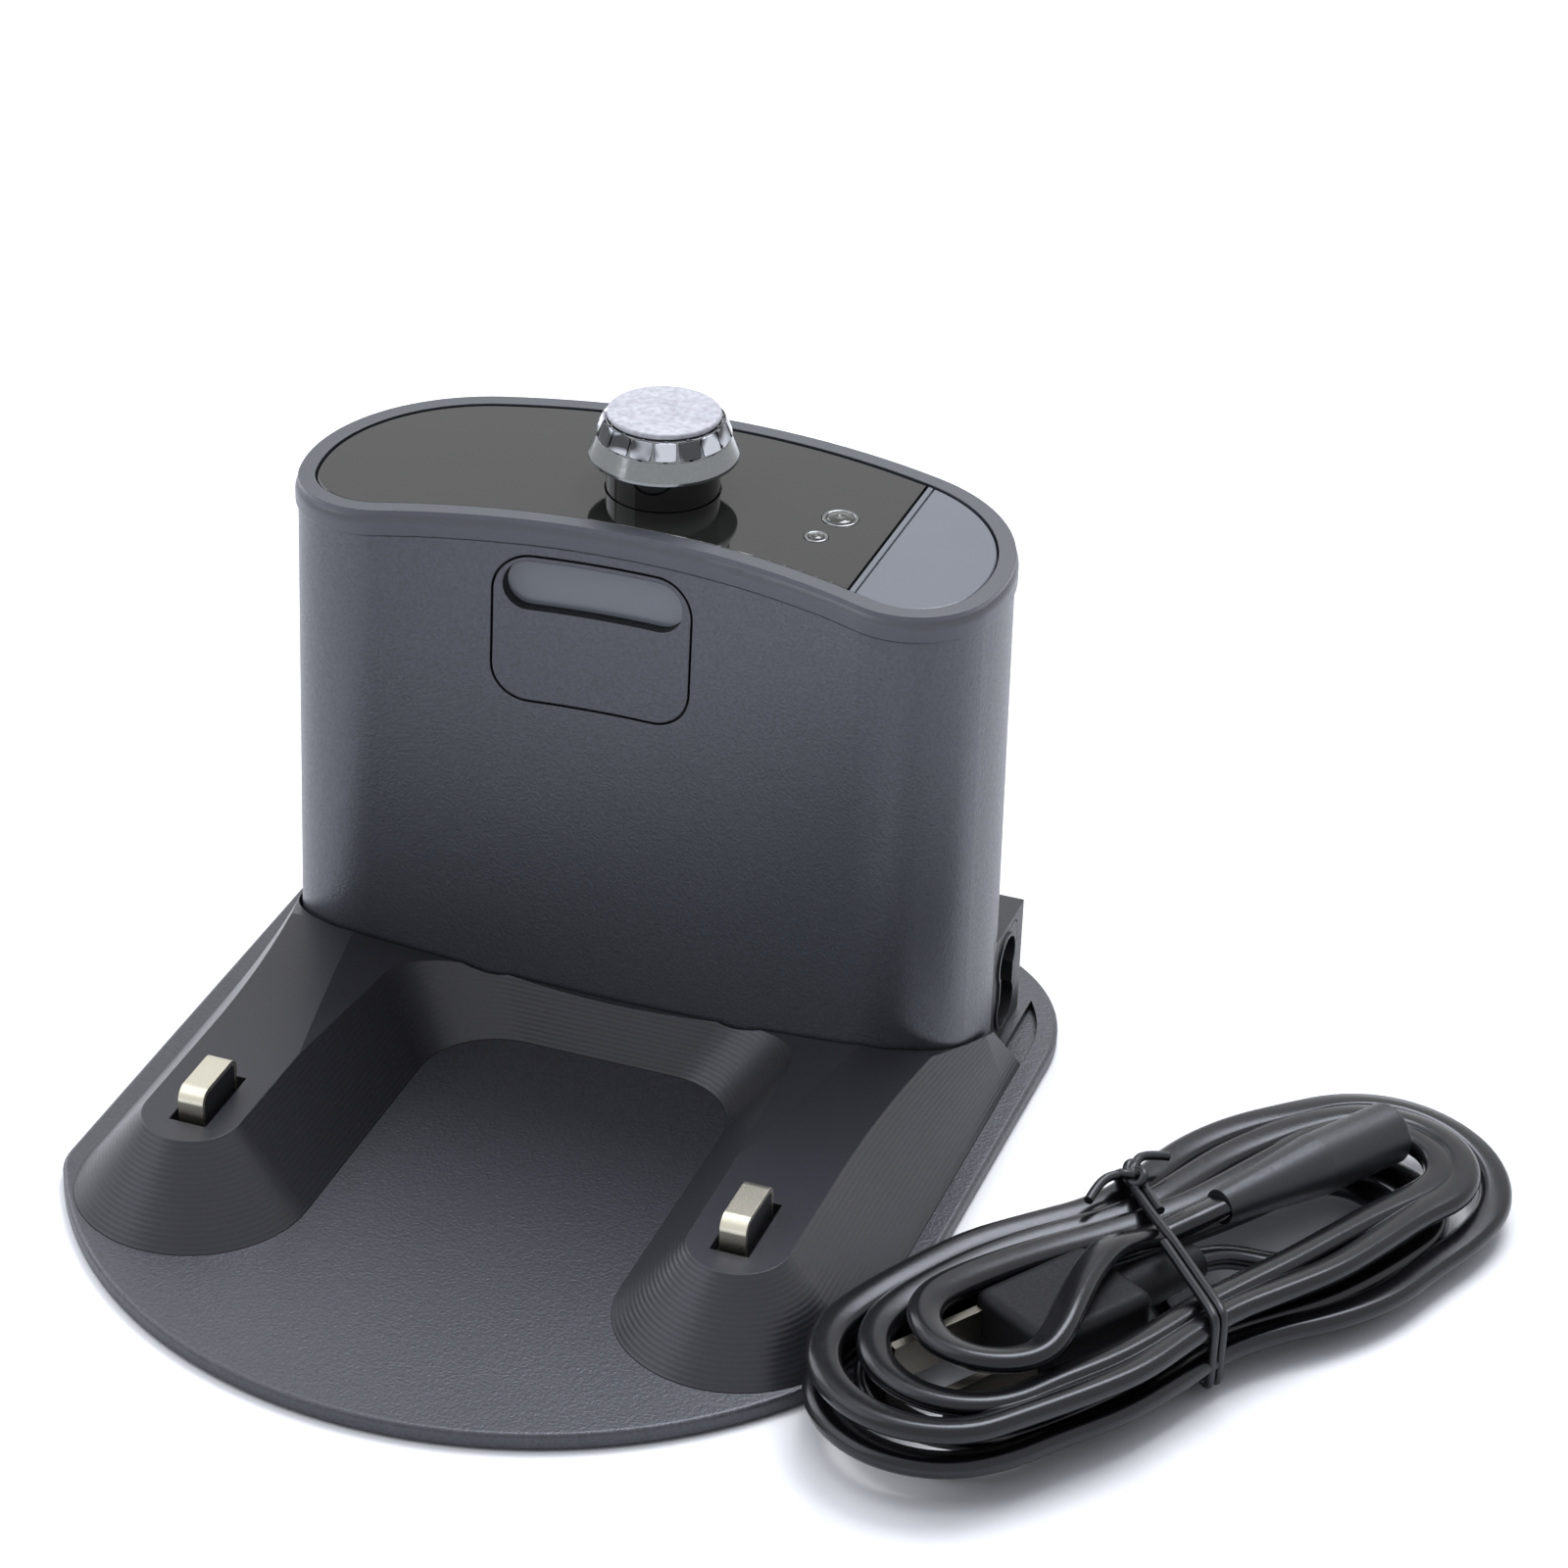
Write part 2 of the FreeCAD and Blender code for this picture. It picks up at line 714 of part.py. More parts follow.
def make_beacon():
    """Beacon from its neck to its cap, each piece seated on the one below."""
    neck_top = panel_top + neck_height
    flare_top = neck_top + flare_height
    band_top = flare_top + band_height
    inner = neck_radius - neck_wall
    neck = turned([(inner, deck_top), (neck_radius, deck_top), (neck_radius, neck_top), (inner, neck_top)])
    flare = turned([(inner, neck_top), (flare_radius, neck_top), (flare_radius, neck_top + flare_lip),
                    (band_radius, flare_top), (band_radius - band_wall, flare_top)])
    band = turned([(band_radius - band_wall, flare_top), (band_radius, flare_top),
                   (band_top_radius, band_top), (band_top_radius - band_wall, band_top)])
    # Each rib is a round groove down the band's slope
    slope = V(0, band_top_radius - band_radius, band_height)
    start = V(beacon_x, beacon_y + band_radius, flare_top) - slope / 2
    rib = Part.makeCylinder(band_rib_depth, 2 * slope.Length, start, slope)
    ribs = [rib.rotated(at(beacon_place, 0), V(0, 0, 1), 360 * index / band_ribs)
            for index in range(band_ribs)]
    band = band.cut(ribs)
    cap = turned([(0, band_top), (cap_seat_radius, band_top), (cap_seat_radius, band_top + cap_gap),
                  (cap_radius, band_top + cap_gap), (cap_radius, band_top + cap_height),
                  (0, band_top + cap_height)])
    cap = cap.makeFillet(cap_round, edges_at(cap, band_top + cap_height))
    emitter = make_emitter().translated(at(beacon_place, deck_top - tower_deck))
    return neck, flare, band, cap, emitter


def make_emitter():
    """Round infrared diode on its base rim, standing along +Z from the origin."""
    body = rod((0, 0), emitter_radius, 0, emitter_length - emitter_radius)
    dome = Part.makeSphere(emitter_radius, V(0, 0, emitter_length - emitter_radius))
    rim = rod((0, 0), emitter_radius + emitter_rim, 0, emitter_rim_height)
    return body.fuse(dome).fuse(rim)


def make_status_lights():
    """Two light pipes with flush heads, and the small board and diodes under them."""
    board_top_z = panel_top - light_pipe_length - led_height
    pipes = []
    leds = []
    for place, radius, stem_radius in ((status_place, status_radius, status_stem_radius),
                                       (pilot_place, pilot_radius, pilot_stem_radius)):
        head = rod(place, radius, deck_top, panel_thickness)
        stem = rod(place, stem_radius, panel_top - light_pipe_length, light_pipe_length - panel_thickness)
        pipes.append(head.fuse(stem))
        leds.append(block(place[0] - led_width / 2, place[1] - led_width / 2, board_top_z,
                          led_width, led_width, led_height))
    middle = ((status_place[0] + pilot_place[0]) / 2, (status_place[1] + pilot_place[1]) / 2)
    board = block(middle[0] - light_board_width / 2, middle[1] - light_board_length / 2,
                  board_top_z - light_board_thickness, light_board_width, light_board_length,
                  light_board_thickness)
    return pipes, leds, board


def light_board_posts():
    """Posts under the tower's deck that carry the small board."""
    top = deck_top - tower_deck
    low = panel_top - light_pipe_length - led_height
    x = (status_place[0] + pilot_place[0]) / 2 - light_board_width / 2 + light_post_inset
    y = (status_place[1] + pilot_place[1]) / 2
    reach = light_board_length / 2 - light_post_inset
    return [rod((x, y + side * reach), light_post_radius, low, top - low) for side in (-1, 1)]


def make_board():
    """Upright circuit board with its transformer, capacitor and two front emitters."""
    low = plate_top + board_seat_height
    board = block(-board_width / 2, board_y, low, board_width, board_thickness, board_top - low)
    notch_low = panel_top - light_pipe_length - led_height - light_board_thickness - board_notch_margin
    # A corner is cut away under the status lights
    corner_x = status_place[0] - light_board_width / 2 - board_notch_margin
    board = board.cut(block(corner_x, board_y, notch_low, board_width, board_thickness, board_top))
    rear = board_y + board_thickness
    width, depth, height = transformer_size
    x, z = transformer_place
    core = block(x - width / 2, rear + bobbin_flange, z - height / 2, width, depth, height)
    bobbin = block(x - width / 2 + bobbin_step, rear, z - height / 2 + bobbin_step, width - 2 * bobbin_step,
                   bobbin_flange, height - 2 * bobbin_step)
    transformer = core.makeFillet(soft_edge, core.Edges).fuse(bobbin)
    can = Part.makeCylinder(capacitor_radius, capacitor_length,
                            V(capacitor_place[0], rear, capacitor_place[1]), V(0, 1, 0))
    can = can.makeFillet(soft_edge, [edge for edge in can.Edges if edge.BoundBox.YMin > rear + soft_edge])
    emitters = []
    for side in (-1, 1):
        diode = make_emitter().rotated(V(0, 0, 0), V(1, 0, 0), 90)
        emitters.append(diode.translated(V(plaque_x + side * emitter_spread, board_y, window_z)))
    return board, transformer, can, emitters


def contact_profile(length, top, low, bend):
    """Side face of a contact or its carrier in the YZ plane: a flat top with rounded ends."""
    front, back = -length / 2, length / 2
    turn = bend * (1 - math.sqrt(0.5))
    return Part.Face(Part.Wire([
        Part.LineSegment(V(0, front, low), V(0, front, top - bend)).toShape(),
        Part.Arc(V(0, front, top - bend), V(0, front + turn, top - turn), V(0, front + bend, top)).toShape(),
        Part.LineSegment(V(0, front + bend, top), V(0, back - bend, top)).toShape(),
        Part.Arc(V(0, back - bend, top), V(0, back - turn, top - turn), V(0, back, top - bend)).toShape(),
        Part.LineSegment(V(0, back, top - bend), V(0, back, low)).toShape(),
        Part.LineSegment(V(0, back, low), V(0, front, low)).toShape()]))


def make_contact(side):
    """Bent contact strip, its carrier and the spring under it."""
    low = contact_top - contact_skirt
    full = contact_profile(contact_length, contact_top, low, contact_bend)
    core = contact_profile(contact_length - 2 * contact_thickness, contact_top - contact_thickness, low,
                           contact_bend - contact_thickness)
    strip = full.cut(core).extrude(V(contact_width, 0, 0))
    flange_top = slot_under - carrier_stop_gap
    flange_low = flange_top - carrier_flange
    inside = contact_thickness + contact_seat_gap
    stem = contact_profile(contact_length - 2 * inside, contact_top - inside, flange_low,
                           contact_bend - inside).extrude(V(contact_width, 0, 0))
    shoulder = block(0, -contact_length / 2, flange_low, contact_width, contact_length, low - flange_low)
    flange = block(-carrier_flange_step - (slot_width - contact_width) / 2,
                   -slot_length / 2 - carrier_flange_step, flange_low, slot_width + 2 * carrier_flange_step,
                   slot_length + 2 * carrier_flange_step, carrier_flange)
    shift = V(side * contact_x - contact_width / 2, contact_y, 0)
    carrier = stem.fuse(shoulder).fuse(flange)
    return strip.translated(shift), carrier.translated(shift)


def make_spring(side):
    """Compression spring between the plate and the carrier."""
    low = plate_top + spring_seat_gap + spring_wire / 2
    high = slot_under - carrier_stop_gap - carrier_flange - spring_seat_gap - spring_wire / 2
    height = high - low
    helix = Part.makeHelix(height / spring_turns, height, spring_radius)
    start = helix.Edges[0].valueAt(helix.Edges[0].FirstParameter)
    along = helix.Edges[0].tangentAt(helix.Edges[0].FirstParameter)
    section = Part.Wire([Part.makeCircle(spring_wire / 2, start, along)])
    coil = Part.Wire(helix.Edges).makePipeShell([section], True, True)
    return coil.translated(V(side * contact_x, contact_y, low))


def make_screw(place):
    """Screw with a rounded head, standing upside down under the plate."""
    head = rod(place, screw_head_radius, foot_proud + screw_sink, screw_head_height)
    head = head.makeFillet(screw_head_height / 2, edges_at(head, foot_proud + screw_sink))
    shank = rod(place, screw_radius, head_seat(), screw_length)
    return head.fuse(shank)


def make_foot(place):
    """Rubber foot in its recess."""
    pad = rod(place, foot_radius, 0, foot_proud + foot_recess)
    return pad.makeFillet(foot_proud / 2, edges_at(pad, 0))


def hank_run():
    """Angle and length of the line between the centres of the hank's ends."""
    dx, dy = hank_far[0] - hank_near[0], hank_far[1] - hank_near[1]
    return math.degrees(math.atan2(dy, dx)), math.hypot(dx, dy)


def stadium(radius):
    """Round-ended outline along +X, from the centre of the hank's near end."""
    length = hank_run()[1]
    return Part.Wire([
        line((0, radius), (length, radius), 0),
        arc((length, radius), (length + radius, 0), (length, -radius), 0),
        line((length, -radius), (0, -radius), 0),
        arc((0, -radius), (-radius, 0), (0, radius), 0)])


def in_hank(shape, share):
    """Lay a shape, made along +X about the origin, at a share of the hank's tilted length."""
    angle, length = hank_run()
    lying = shape.translated(V(length * share, 0, 0)).rotated(V(0, 0, 0), V(0, 1, 0), hank_tilt)
    return lying.rotated(V(0, 0, 0), V(0, 0, 1), angle).translated(at(hank_near, hank_rise))


def make_hank():
    """Outer form of the coiled lead, with the long slot inside its turns, and the tie about its middle."""
    body = prism(stadium(hank_half_width), hank_height).cut(prism(stadium(hank_slot), hank_height))
    body = body.makeFillet(hank_round, edges_at(body, 0) + edges_at(body, hank_height))
    outside = hank_half_width + tie_clearance + tie_thickness
    low = -tie_clearance - tie_thickness
    height = hank_height - 2 * low
    band = block(-tie_width / 2, -outside, low, tie_width, 2 * outside, height)
    lengthwise = [edge for edge in band.Edges if edge.BoundBox.XLength > tie_width / 2]
    band = band.makeFillet(hank_round + tie_thickness, lengthwise)
    hole = block(-tie_width, -outside + tie_thickness, low + tie_thickness, 2 * tie_width,
                 2 * (outside - tie_thickness), height - 2 * tie_thickness)
    lengthwise = [edge for edge in hole.Edges if edge.BoundBox.XLength > tie_width]
    hole = hole.makeFillet(hank_round, lengthwise)
    return in_hank(body, 0.0), in_hank(band.cut(hole), tie_share)


def make_connector():
    """Lead connector with its tapered strain relief, lying in the hank's slot against the turns."""
    middle = V(0, connector_across, connector_radius + connector_lift)
    barrel = Part.makeCylinder(connector_radius, connector_length, middle, V(1, 0, 0))
    nose = [edge for edge in barrel.Edges if edge.BoundBox.XMin > connector_length - tiny]
    barrel = barrel.makeFillet(soft_edge, nose)
    relief = Part.makeCone(lead_tail_radius, connector_radius, connector_taper,
                           middle - V(connector_taper, 0, 0), V(1, 0, 0))
    return in_hank(barrel.fuse(relief), connector_share)


def make_plug():
    """Two-blade plug with a tapered strain relief, lying in the hank's slot, and its blades."""
    body = block(-plug_length / 2, -plug_width / 2, lead_inset, plug_length, plug_width, plug_height)
    body = body.makeFillet(plug_round, body.Edges)
    relief = Part.makeCone(plug_relief_radius, lead_tail_radius, plug_relief_length,
                           V(plug_length / 2, 0, lead_inset + plug_height / 2), V(1, 0, 0))
    body = body.fuse(relief)
    blades = []
    for side in (-1, 1):
        blade = block(-plug_length / 2 - blade_length, side * blade_spacing / 2 - blade_thickness / 2,
                      lead_inset + plug_height / 2 - blade_width / 2, blade_length, blade_thickness,
                      blade_width)
        blades.append(in_hank(blade, plug_share))
    return in_hank(body, plug_share), blades


def main():
    """Build every node and write it."""
    os.makedirs("parts", exist_ok=True)
    save("base_plate", make_base_plate())
    save("ridge_cover", make_ridge_cover())
    save("tower_shell", make_tower_shell())
    panel, end_panel = make_panels()
    save("top_panel", panel)
    save("top_end_panel", end_panel)
    neck, flare, band, cap, emitter = make_beacon()
    save("beacon_neck", neck)
    save("beacon_flare", flare)
    save("beacon_light_band", band)
    save("beacon_cap", cap)
    save("beacon_emitter", emitter)
    plaque = plaque_block(0.0).common(wall_layer(0.0, plaque_depth)).cut(window_block(window_clearance))
    save("front_plaque", plaque)
    lens = window_block(0.0).common(wall_layer(window_sink, window_sink + window_thickness))
    save("window_lens", lens)
    pipes, leds, light_board = make_status_lights()
    save("status_lens", pipes[0])
    save("pilot_lens", pipes[1])
    save("status_leds", *leds)
    save("light_board", light_board)
    socket, pins = make_inlet()
    save("inlet_socket", socket)
    save("inlet_pins", *pins)
    for name, side in (("left", -1), ("right", 1)):
        strip, carrier = make_contact(side)
        save("contact_" + name, strip)
        save("contact_carrier_" + name, carrier)
        save("contact_spring_" + name, make_spring(side))
    board, transformer, capacitor, emitters = make_board()
    save("main_board", board)
    save("transformer", transformer)
    save("capacitor", capacitor)
    save("front_emitters", *emitters)
    save("base_screws", *[make_screw(place) for place in screw_places()])
    save("rubber_feet", *[make_foot(place) for place in foot_places()])
    hank, tie = make_hank()
    save("lead_hank", hank)
    save("lead_tie", tie)
    save("lead_connector", make_connector())
    plug, blades = make_plug()
    save("lead_plug", plug)
    save("lead_plug_blades", *blades)


if __name__ == "__main__":
    main()
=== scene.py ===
"""Looks of a robot vacuum's charging dock and its coiled mains lead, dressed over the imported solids."""

import logging
import math
from dataclasses import dataclass
from enum import Enum
from typing import Dict, List, Optional, Sequence, Tuple

import bmesh
import bpy
from mathutils import Matrix, Vector


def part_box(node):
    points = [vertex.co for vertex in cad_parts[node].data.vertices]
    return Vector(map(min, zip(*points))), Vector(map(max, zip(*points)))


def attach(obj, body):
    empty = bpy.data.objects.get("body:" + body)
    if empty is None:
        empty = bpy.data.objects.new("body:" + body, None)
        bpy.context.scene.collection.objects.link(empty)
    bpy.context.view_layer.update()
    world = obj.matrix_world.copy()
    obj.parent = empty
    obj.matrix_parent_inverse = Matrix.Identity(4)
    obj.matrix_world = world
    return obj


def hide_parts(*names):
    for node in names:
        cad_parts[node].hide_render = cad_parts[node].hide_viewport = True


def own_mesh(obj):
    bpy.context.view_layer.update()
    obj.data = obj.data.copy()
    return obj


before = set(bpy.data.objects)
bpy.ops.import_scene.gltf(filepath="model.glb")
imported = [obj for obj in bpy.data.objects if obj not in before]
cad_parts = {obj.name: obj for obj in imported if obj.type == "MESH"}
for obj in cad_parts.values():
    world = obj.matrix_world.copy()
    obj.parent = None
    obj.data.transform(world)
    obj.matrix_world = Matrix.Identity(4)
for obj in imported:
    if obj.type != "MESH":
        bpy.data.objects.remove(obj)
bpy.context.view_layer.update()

LOG = logging.getLogger("dock")
MM = 0.001

NOISE_LOW, NOISE_HIGH = 0.3, 0.7  # most values of a noise texture lie between these
ROUGH_SPREAD = 0.12  # share by which a moulded skin's roughness rises in its pits and falls on its peaks
LEVEL_NORMAL, STEEP_NORMAL = 0.93, 0.84  # upward parts of the normal between which the tool's steps appear
WAVE_RADIANS = 20  # a wave texture turns by this much per unit at a scale of one
ABS_IOR, ACRYLIC_IOR = 1.53, 1.49

Colour = Tuple[float, float, float, float]
Point = Tuple[float, float, float]
Span = Tuple[float, float]
Socket = bpy.types.NodeSocket


class Body(Enum):
    """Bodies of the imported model."""

    DOCK = "dock"
    LEFT = "left_contact"
    RIGHT = "right_contact"


def linear(code: str) -> Colour:
    """Turn an sRGB hex value into linear light.

    Args:
        code: six hex digits after a hash sign.

    Returns:
        Red, green, blue and an alpha of one.
    """
    parts = [int(code[i:i + 2], 16) / 255 for i in (1, 3, 5)]
    red, green, blue = [c / 12.92 if c <= 0.04045 else ((c + 0.055) / 1.055) ** 2.4 for c in parts]
    return (red, green, blue, 1.0)


def per_metre(size_mm: float) -> float:
    """Texture scale at which one cell of a pattern is size_mm wide."""
    return 1.0 / (size_mm * MM)


def add(tree: bpy.types.NodeTree, kind: str, settings: Optional[Dict] = None,
        links: Optional[Dict] = None) -> bpy.types.Node:
    """Add a node with its settings and links.

    Args:
        tree: node tree that takes the node.
        kind: the node's type name.
        settings: properties of the node, or values of its inputs by name or number.
        links: output sockets by the name or number of the input that they feed.

    Returns:
        The new node.
    """
    node = tree.nodes.new(kind)
    for key, value in (settings or {}).items():
        if isinstance(key, str) and hasattr(node, key):
            setattr(node, key, value)
        else:
            node.inputs[key].default_value = value
    for key, socket in (links or {}).items():
        tree.links.new(socket, node.inputs[key])
    return node


def new_material(name: str) -> Tuple[bpy.types.Material, bpy.types.NodeTree, bpy.types.Node]:
    """Make an empty node material.

    Args:
        name: what the material is and how its surface was made.

    Returns:
        The material, its tree and its Principled shader, already linked to the output.
    """
    material = bpy.data.materials.new(name)
    material.use_nodes = True
    tree = material.node_tree
    tree.nodes.clear()
    shader = add(tree, "ShaderNodeBsdfPrincipled")
    add(tree, "ShaderNodeOutputMaterial", links={"Surface": shader.outputs[0]})
    return material, tree, shader


@dataclass(frozen=True)
class MouldedPlastic:
    """Injection-moulded ABS: the tool's spark-eroded skin gives a fine grain, duller in its pits.

    The colour drifts between tint and shade in faint clouds, and speck is the share by which the grain
    lightens and darkens it. Steps are level lines on slopes, edge is the radius of softened edges, and sheen
    tints the highlights.
    """

    name: str
    tint: str
    shade: str
    roughness: float
    grain_mm: float
    grain_depth_mm: float
    cloud_mm: float = 22.0
    step_mm: float = 0.0
    step_depth_mm: float = 0.0
    edge_mm: float = 0.25
    speck: float = 0.14
    gloss: float = 0.5
    sheen: str = "#eef0fb"

    def make(self) -> bpy.types.Material:
        """Build the material.

        Returns:
            A material on Object coordinates, with grain, faint clouds and softened edges.
        """
        material, tree, shader = new_material(self.name)
        place = add(tree, "ShaderNodeTexCoord").outputs["Object"]
        grain = add(tree, "ShaderNodeTexNoise", {"Scale": per_metre(self.grain_mm), "Detail": 3.0},
                    {"Vector": place})
        cloud = add(tree, "ShaderNodeTexNoise", {"Scale": per_metre(self.cloud_mm), "Detail": 2.0},
                    {"Vector": place})
        colour = add(tree, "ShaderNodeMix",
                     {"data_type": "RGBA", 6: linear(self.shade), 7: linear(self.tint)},
                     {0: cloud.outputs["Fac"]})
        speck = add(tree, "ShaderNodeMapRange",
                    {1: NOISE_LOW, 2: NOISE_HIGH, 3: 1 - self.speck, 4: 1 + self.speck},
                    {0: grain.outputs["Fac"]})
        grained = add(tree, "ShaderNodeVectorMath", {"operation": "SCALE"},
                      {0: colour.outputs[2], "Scale": speck.outputs[0]})
        tree.links.new(grained.outputs[0], shader.inputs["Base Color"])
        rough = add(tree, "ShaderNodeMapRange",
                    {1: NOISE_LOW, 2: NOISE_HIGH, 3: self.roughness * (1 + ROUGH_SPREAD),
                     4: self.roughness * (1 - ROUGH_SPREAD)}, {0: grain.outputs["Fac"]})
        tree.links.new(rough.outputs[0], shader.inputs["Roughness"])
        soft = add(tree, "ShaderNodeBevel", {"samples": 4, "Radius": self.edge_mm * MM})
        bump = add(tree, "ShaderNodeBump", {"Distance": self.grain_depth_mm * MM, "Strength": 0.6},
                   {"Height": grain.outputs["Fac"], "Normal": soft.outputs[0]})
        normal = bump.outputs[0]
        if self.step_mm:
            # Fine level steps that the cutter left in the tool, drawn a little coarser so that they show
            rise = 2 * math.pi / WAVE_RADIANS * per_metre(self.step_mm)
            steps = add(tree, "ShaderNodeTexWave",
                        {"bands_direction": "Z", "wave_profile": "SIN", "Scale": rise}, {"Vector": place})
            facing = add(tree, "ShaderNodeSeparateXYZ",
                         links={0: add(tree, "ShaderNodeNewGeometry").outputs["Normal"]})
            steep = add(tree, "ShaderNodeMapRange", {1: LEVEL_NORMAL, 2: STEEP_NORMAL},
                        {0: facing.outputs["Z"]})
            normal = add(tree, "ShaderNodeBump", {"Distance": self.step_depth_mm * MM},
                         {"Height": steps.outputs["Fac"], "Strength": steep.outputs[0],
                          "Normal": normal}).outputs[0]
        tree.links.new(normal, shader.inputs["Normal"])
        shader.inputs["IOR"].default_value = ABS_IOR
        shader.inputs["Specular IOR Level"].default_value = self.gloss
        shader.inputs["Specular Tint"].default_value = linear(self.sheen)
        return material


@dataclass(frozen=True)
class PolishedPlastic:
    """Polished acrylic or ABS: a mirror-smooth skin with faint wiping marks and a little dust.

    Haze is added to the roughness in the wiped patches, and dust is the factor that lightens their colour.
    """

    name: str
    tint: str
    roughness: float
    mark_mm: float = 14.0
    edge_mm: float = 0.2
    haze: float = 0.04
    dust: float = 1.12
    coat: float = 0.0
    transmission: float = 0.0

    def make(self) -> bpy.types.Material:
        """Build the material.

        Returns:
            A glossy material whose roughness varies in soft wiped patches.
        """
        material, tree, shader = new_material(self.name)
        place = add(tree, "ShaderNodeTexCoord").outputs["Object"]
        wipe = add(tree, "ShaderNodeTexNoise", {"Scale": per_metre(self.mark_mm), "Detail": 2.0},
                   {"Vector": place})
        rough = add(tree, "ShaderNodeMapRange", {1: 0.35, 2: 0.7, 3: self.roughness,
                                                 4: self.roughness + self.haze}, {0: wipe.outputs["Fac"]})
        tree.links.new(rough.outputs[0], shader.inputs["Roughness"])
        base = Vector(linear(self.tint)[:3])
        dusty = tuple(base * self.dust) + (1.0,)
        colour = add(tree, "ShaderNodeMix", {"data_type": "RGBA", 6: linear(self.tint), 7: dusty},
                     {0: wipe.outputs["Fac"]})
        tree.links.new(colour.outputs[2], shader.inputs["Base Color"])
        soft = add(tree, "ShaderNodeBevel", {"samples": 4, "Radius": self.edge_mm * MM})
        tree.links.new(soft.outputs[0], shader.inputs["Normal"])
        shader.inputs["IOR"].default_value = ACRYLIC_IOR
        shader.inputs["Coat Weight"].default_value = self.coat
        shader.inputs["Transmission Weight"].default_value = self.transmission
        return material


@dataclass(frozen=True)
class WorkedMetal:
    """Plated, drawn or stamped metal: fine lines along the way it was worked.

    Stretch packs the lines closer along an axis. The tarnish factor darkens the lines, and where cells
    are set it darkens cells instead: painted reflection of the dark surroundings that some facets mirror.
    """

    name: str
    tint: str
    roughness: float
    line_mm: float
    stretch: Point = (1.0, 1.0, 1.0)
    tarnish_and_painted_dark: float = 0.82
    painted_cell_mm: float = 0.0
    edge_mm: float = 0.15
    line_depth_mm: float = 0.004

    def make(self) -> bpy.types.Material:
        """Build the material.

        Returns:
            A metal whose roughness and height follow its drawn lines.
        """
        material, tree, shader = new_material(self.name)
        place = add(tree, "ShaderNodeTexCoord").outputs["Object"]
        drawn = add(tree, "ShaderNodeMapping", {"Scale": self.stretch}, {"Vector": place})
        lines = add(tree, "ShaderNodeTexNoise", {"Scale": per_metre(self.line_mm), "Detail": 3.0},
                    {"Vector": drawn.outputs[0]})
        rough = add(tree, "ShaderNodeMapRange",
                    {1: NOISE_LOW, 2: NOISE_HIGH, 3: max(self.roughness - 0.05, 0.02),
                     4: self.roughness + 0.07}, {0: lines.outputs["Fac"]})
        tree.links.new(rough.outputs[0], shader.inputs["Roughness"])
        soft = add(tree, "ShaderNodeBevel", {"samples": 4, "Radius": self.edge_mm * MM})
        bump = add(tree, "ShaderNodeBump", {"Distance": self.line_depth_mm * MM, "Strength": 0.4},
                   {"Height": lines.outputs["Fac"], "Normal": soft.outputs[0]})
        tree.links.new(bump.outputs[0], shader.inputs["Normal"])
        wear_and_painted_dark = lines.outputs["Fac"]
        if self.painted_cell_mm:
            # Painted reflection: dark cells beside bright ones stand in for the dark surroundings that some
            # facets mirror
            cells = add(tree, "ShaderNodeTexNoise", {"Scale": per_metre(self.painted_cell_mm), "Detail": 0.0},
                        {"Vector": place})
            wear_and_painted_dark = add(tree, "ShaderNodeMapRange", {1: 0.42, 2: 0.58}, {0: cells.outputs["Fac"]}).outputs[0]
        base = Vector(linear(self.tint)[:3])
        tarnish_and_painted_dark = tuple(base * self.tarnish_and_painted_dark) + (1.0,)
        colour = add(tree, "ShaderNodeMix", {"data_type": "RGBA", 6: linear(self.tint), 7: tarnish_and_painted_dark},
                     {0: wear_and_painted_dark})
        tree.links.new(colour.outputs[2], shader.inputs["Base Color"])
        shader.inputs["Metallic"].default_value = 1.0
        return material


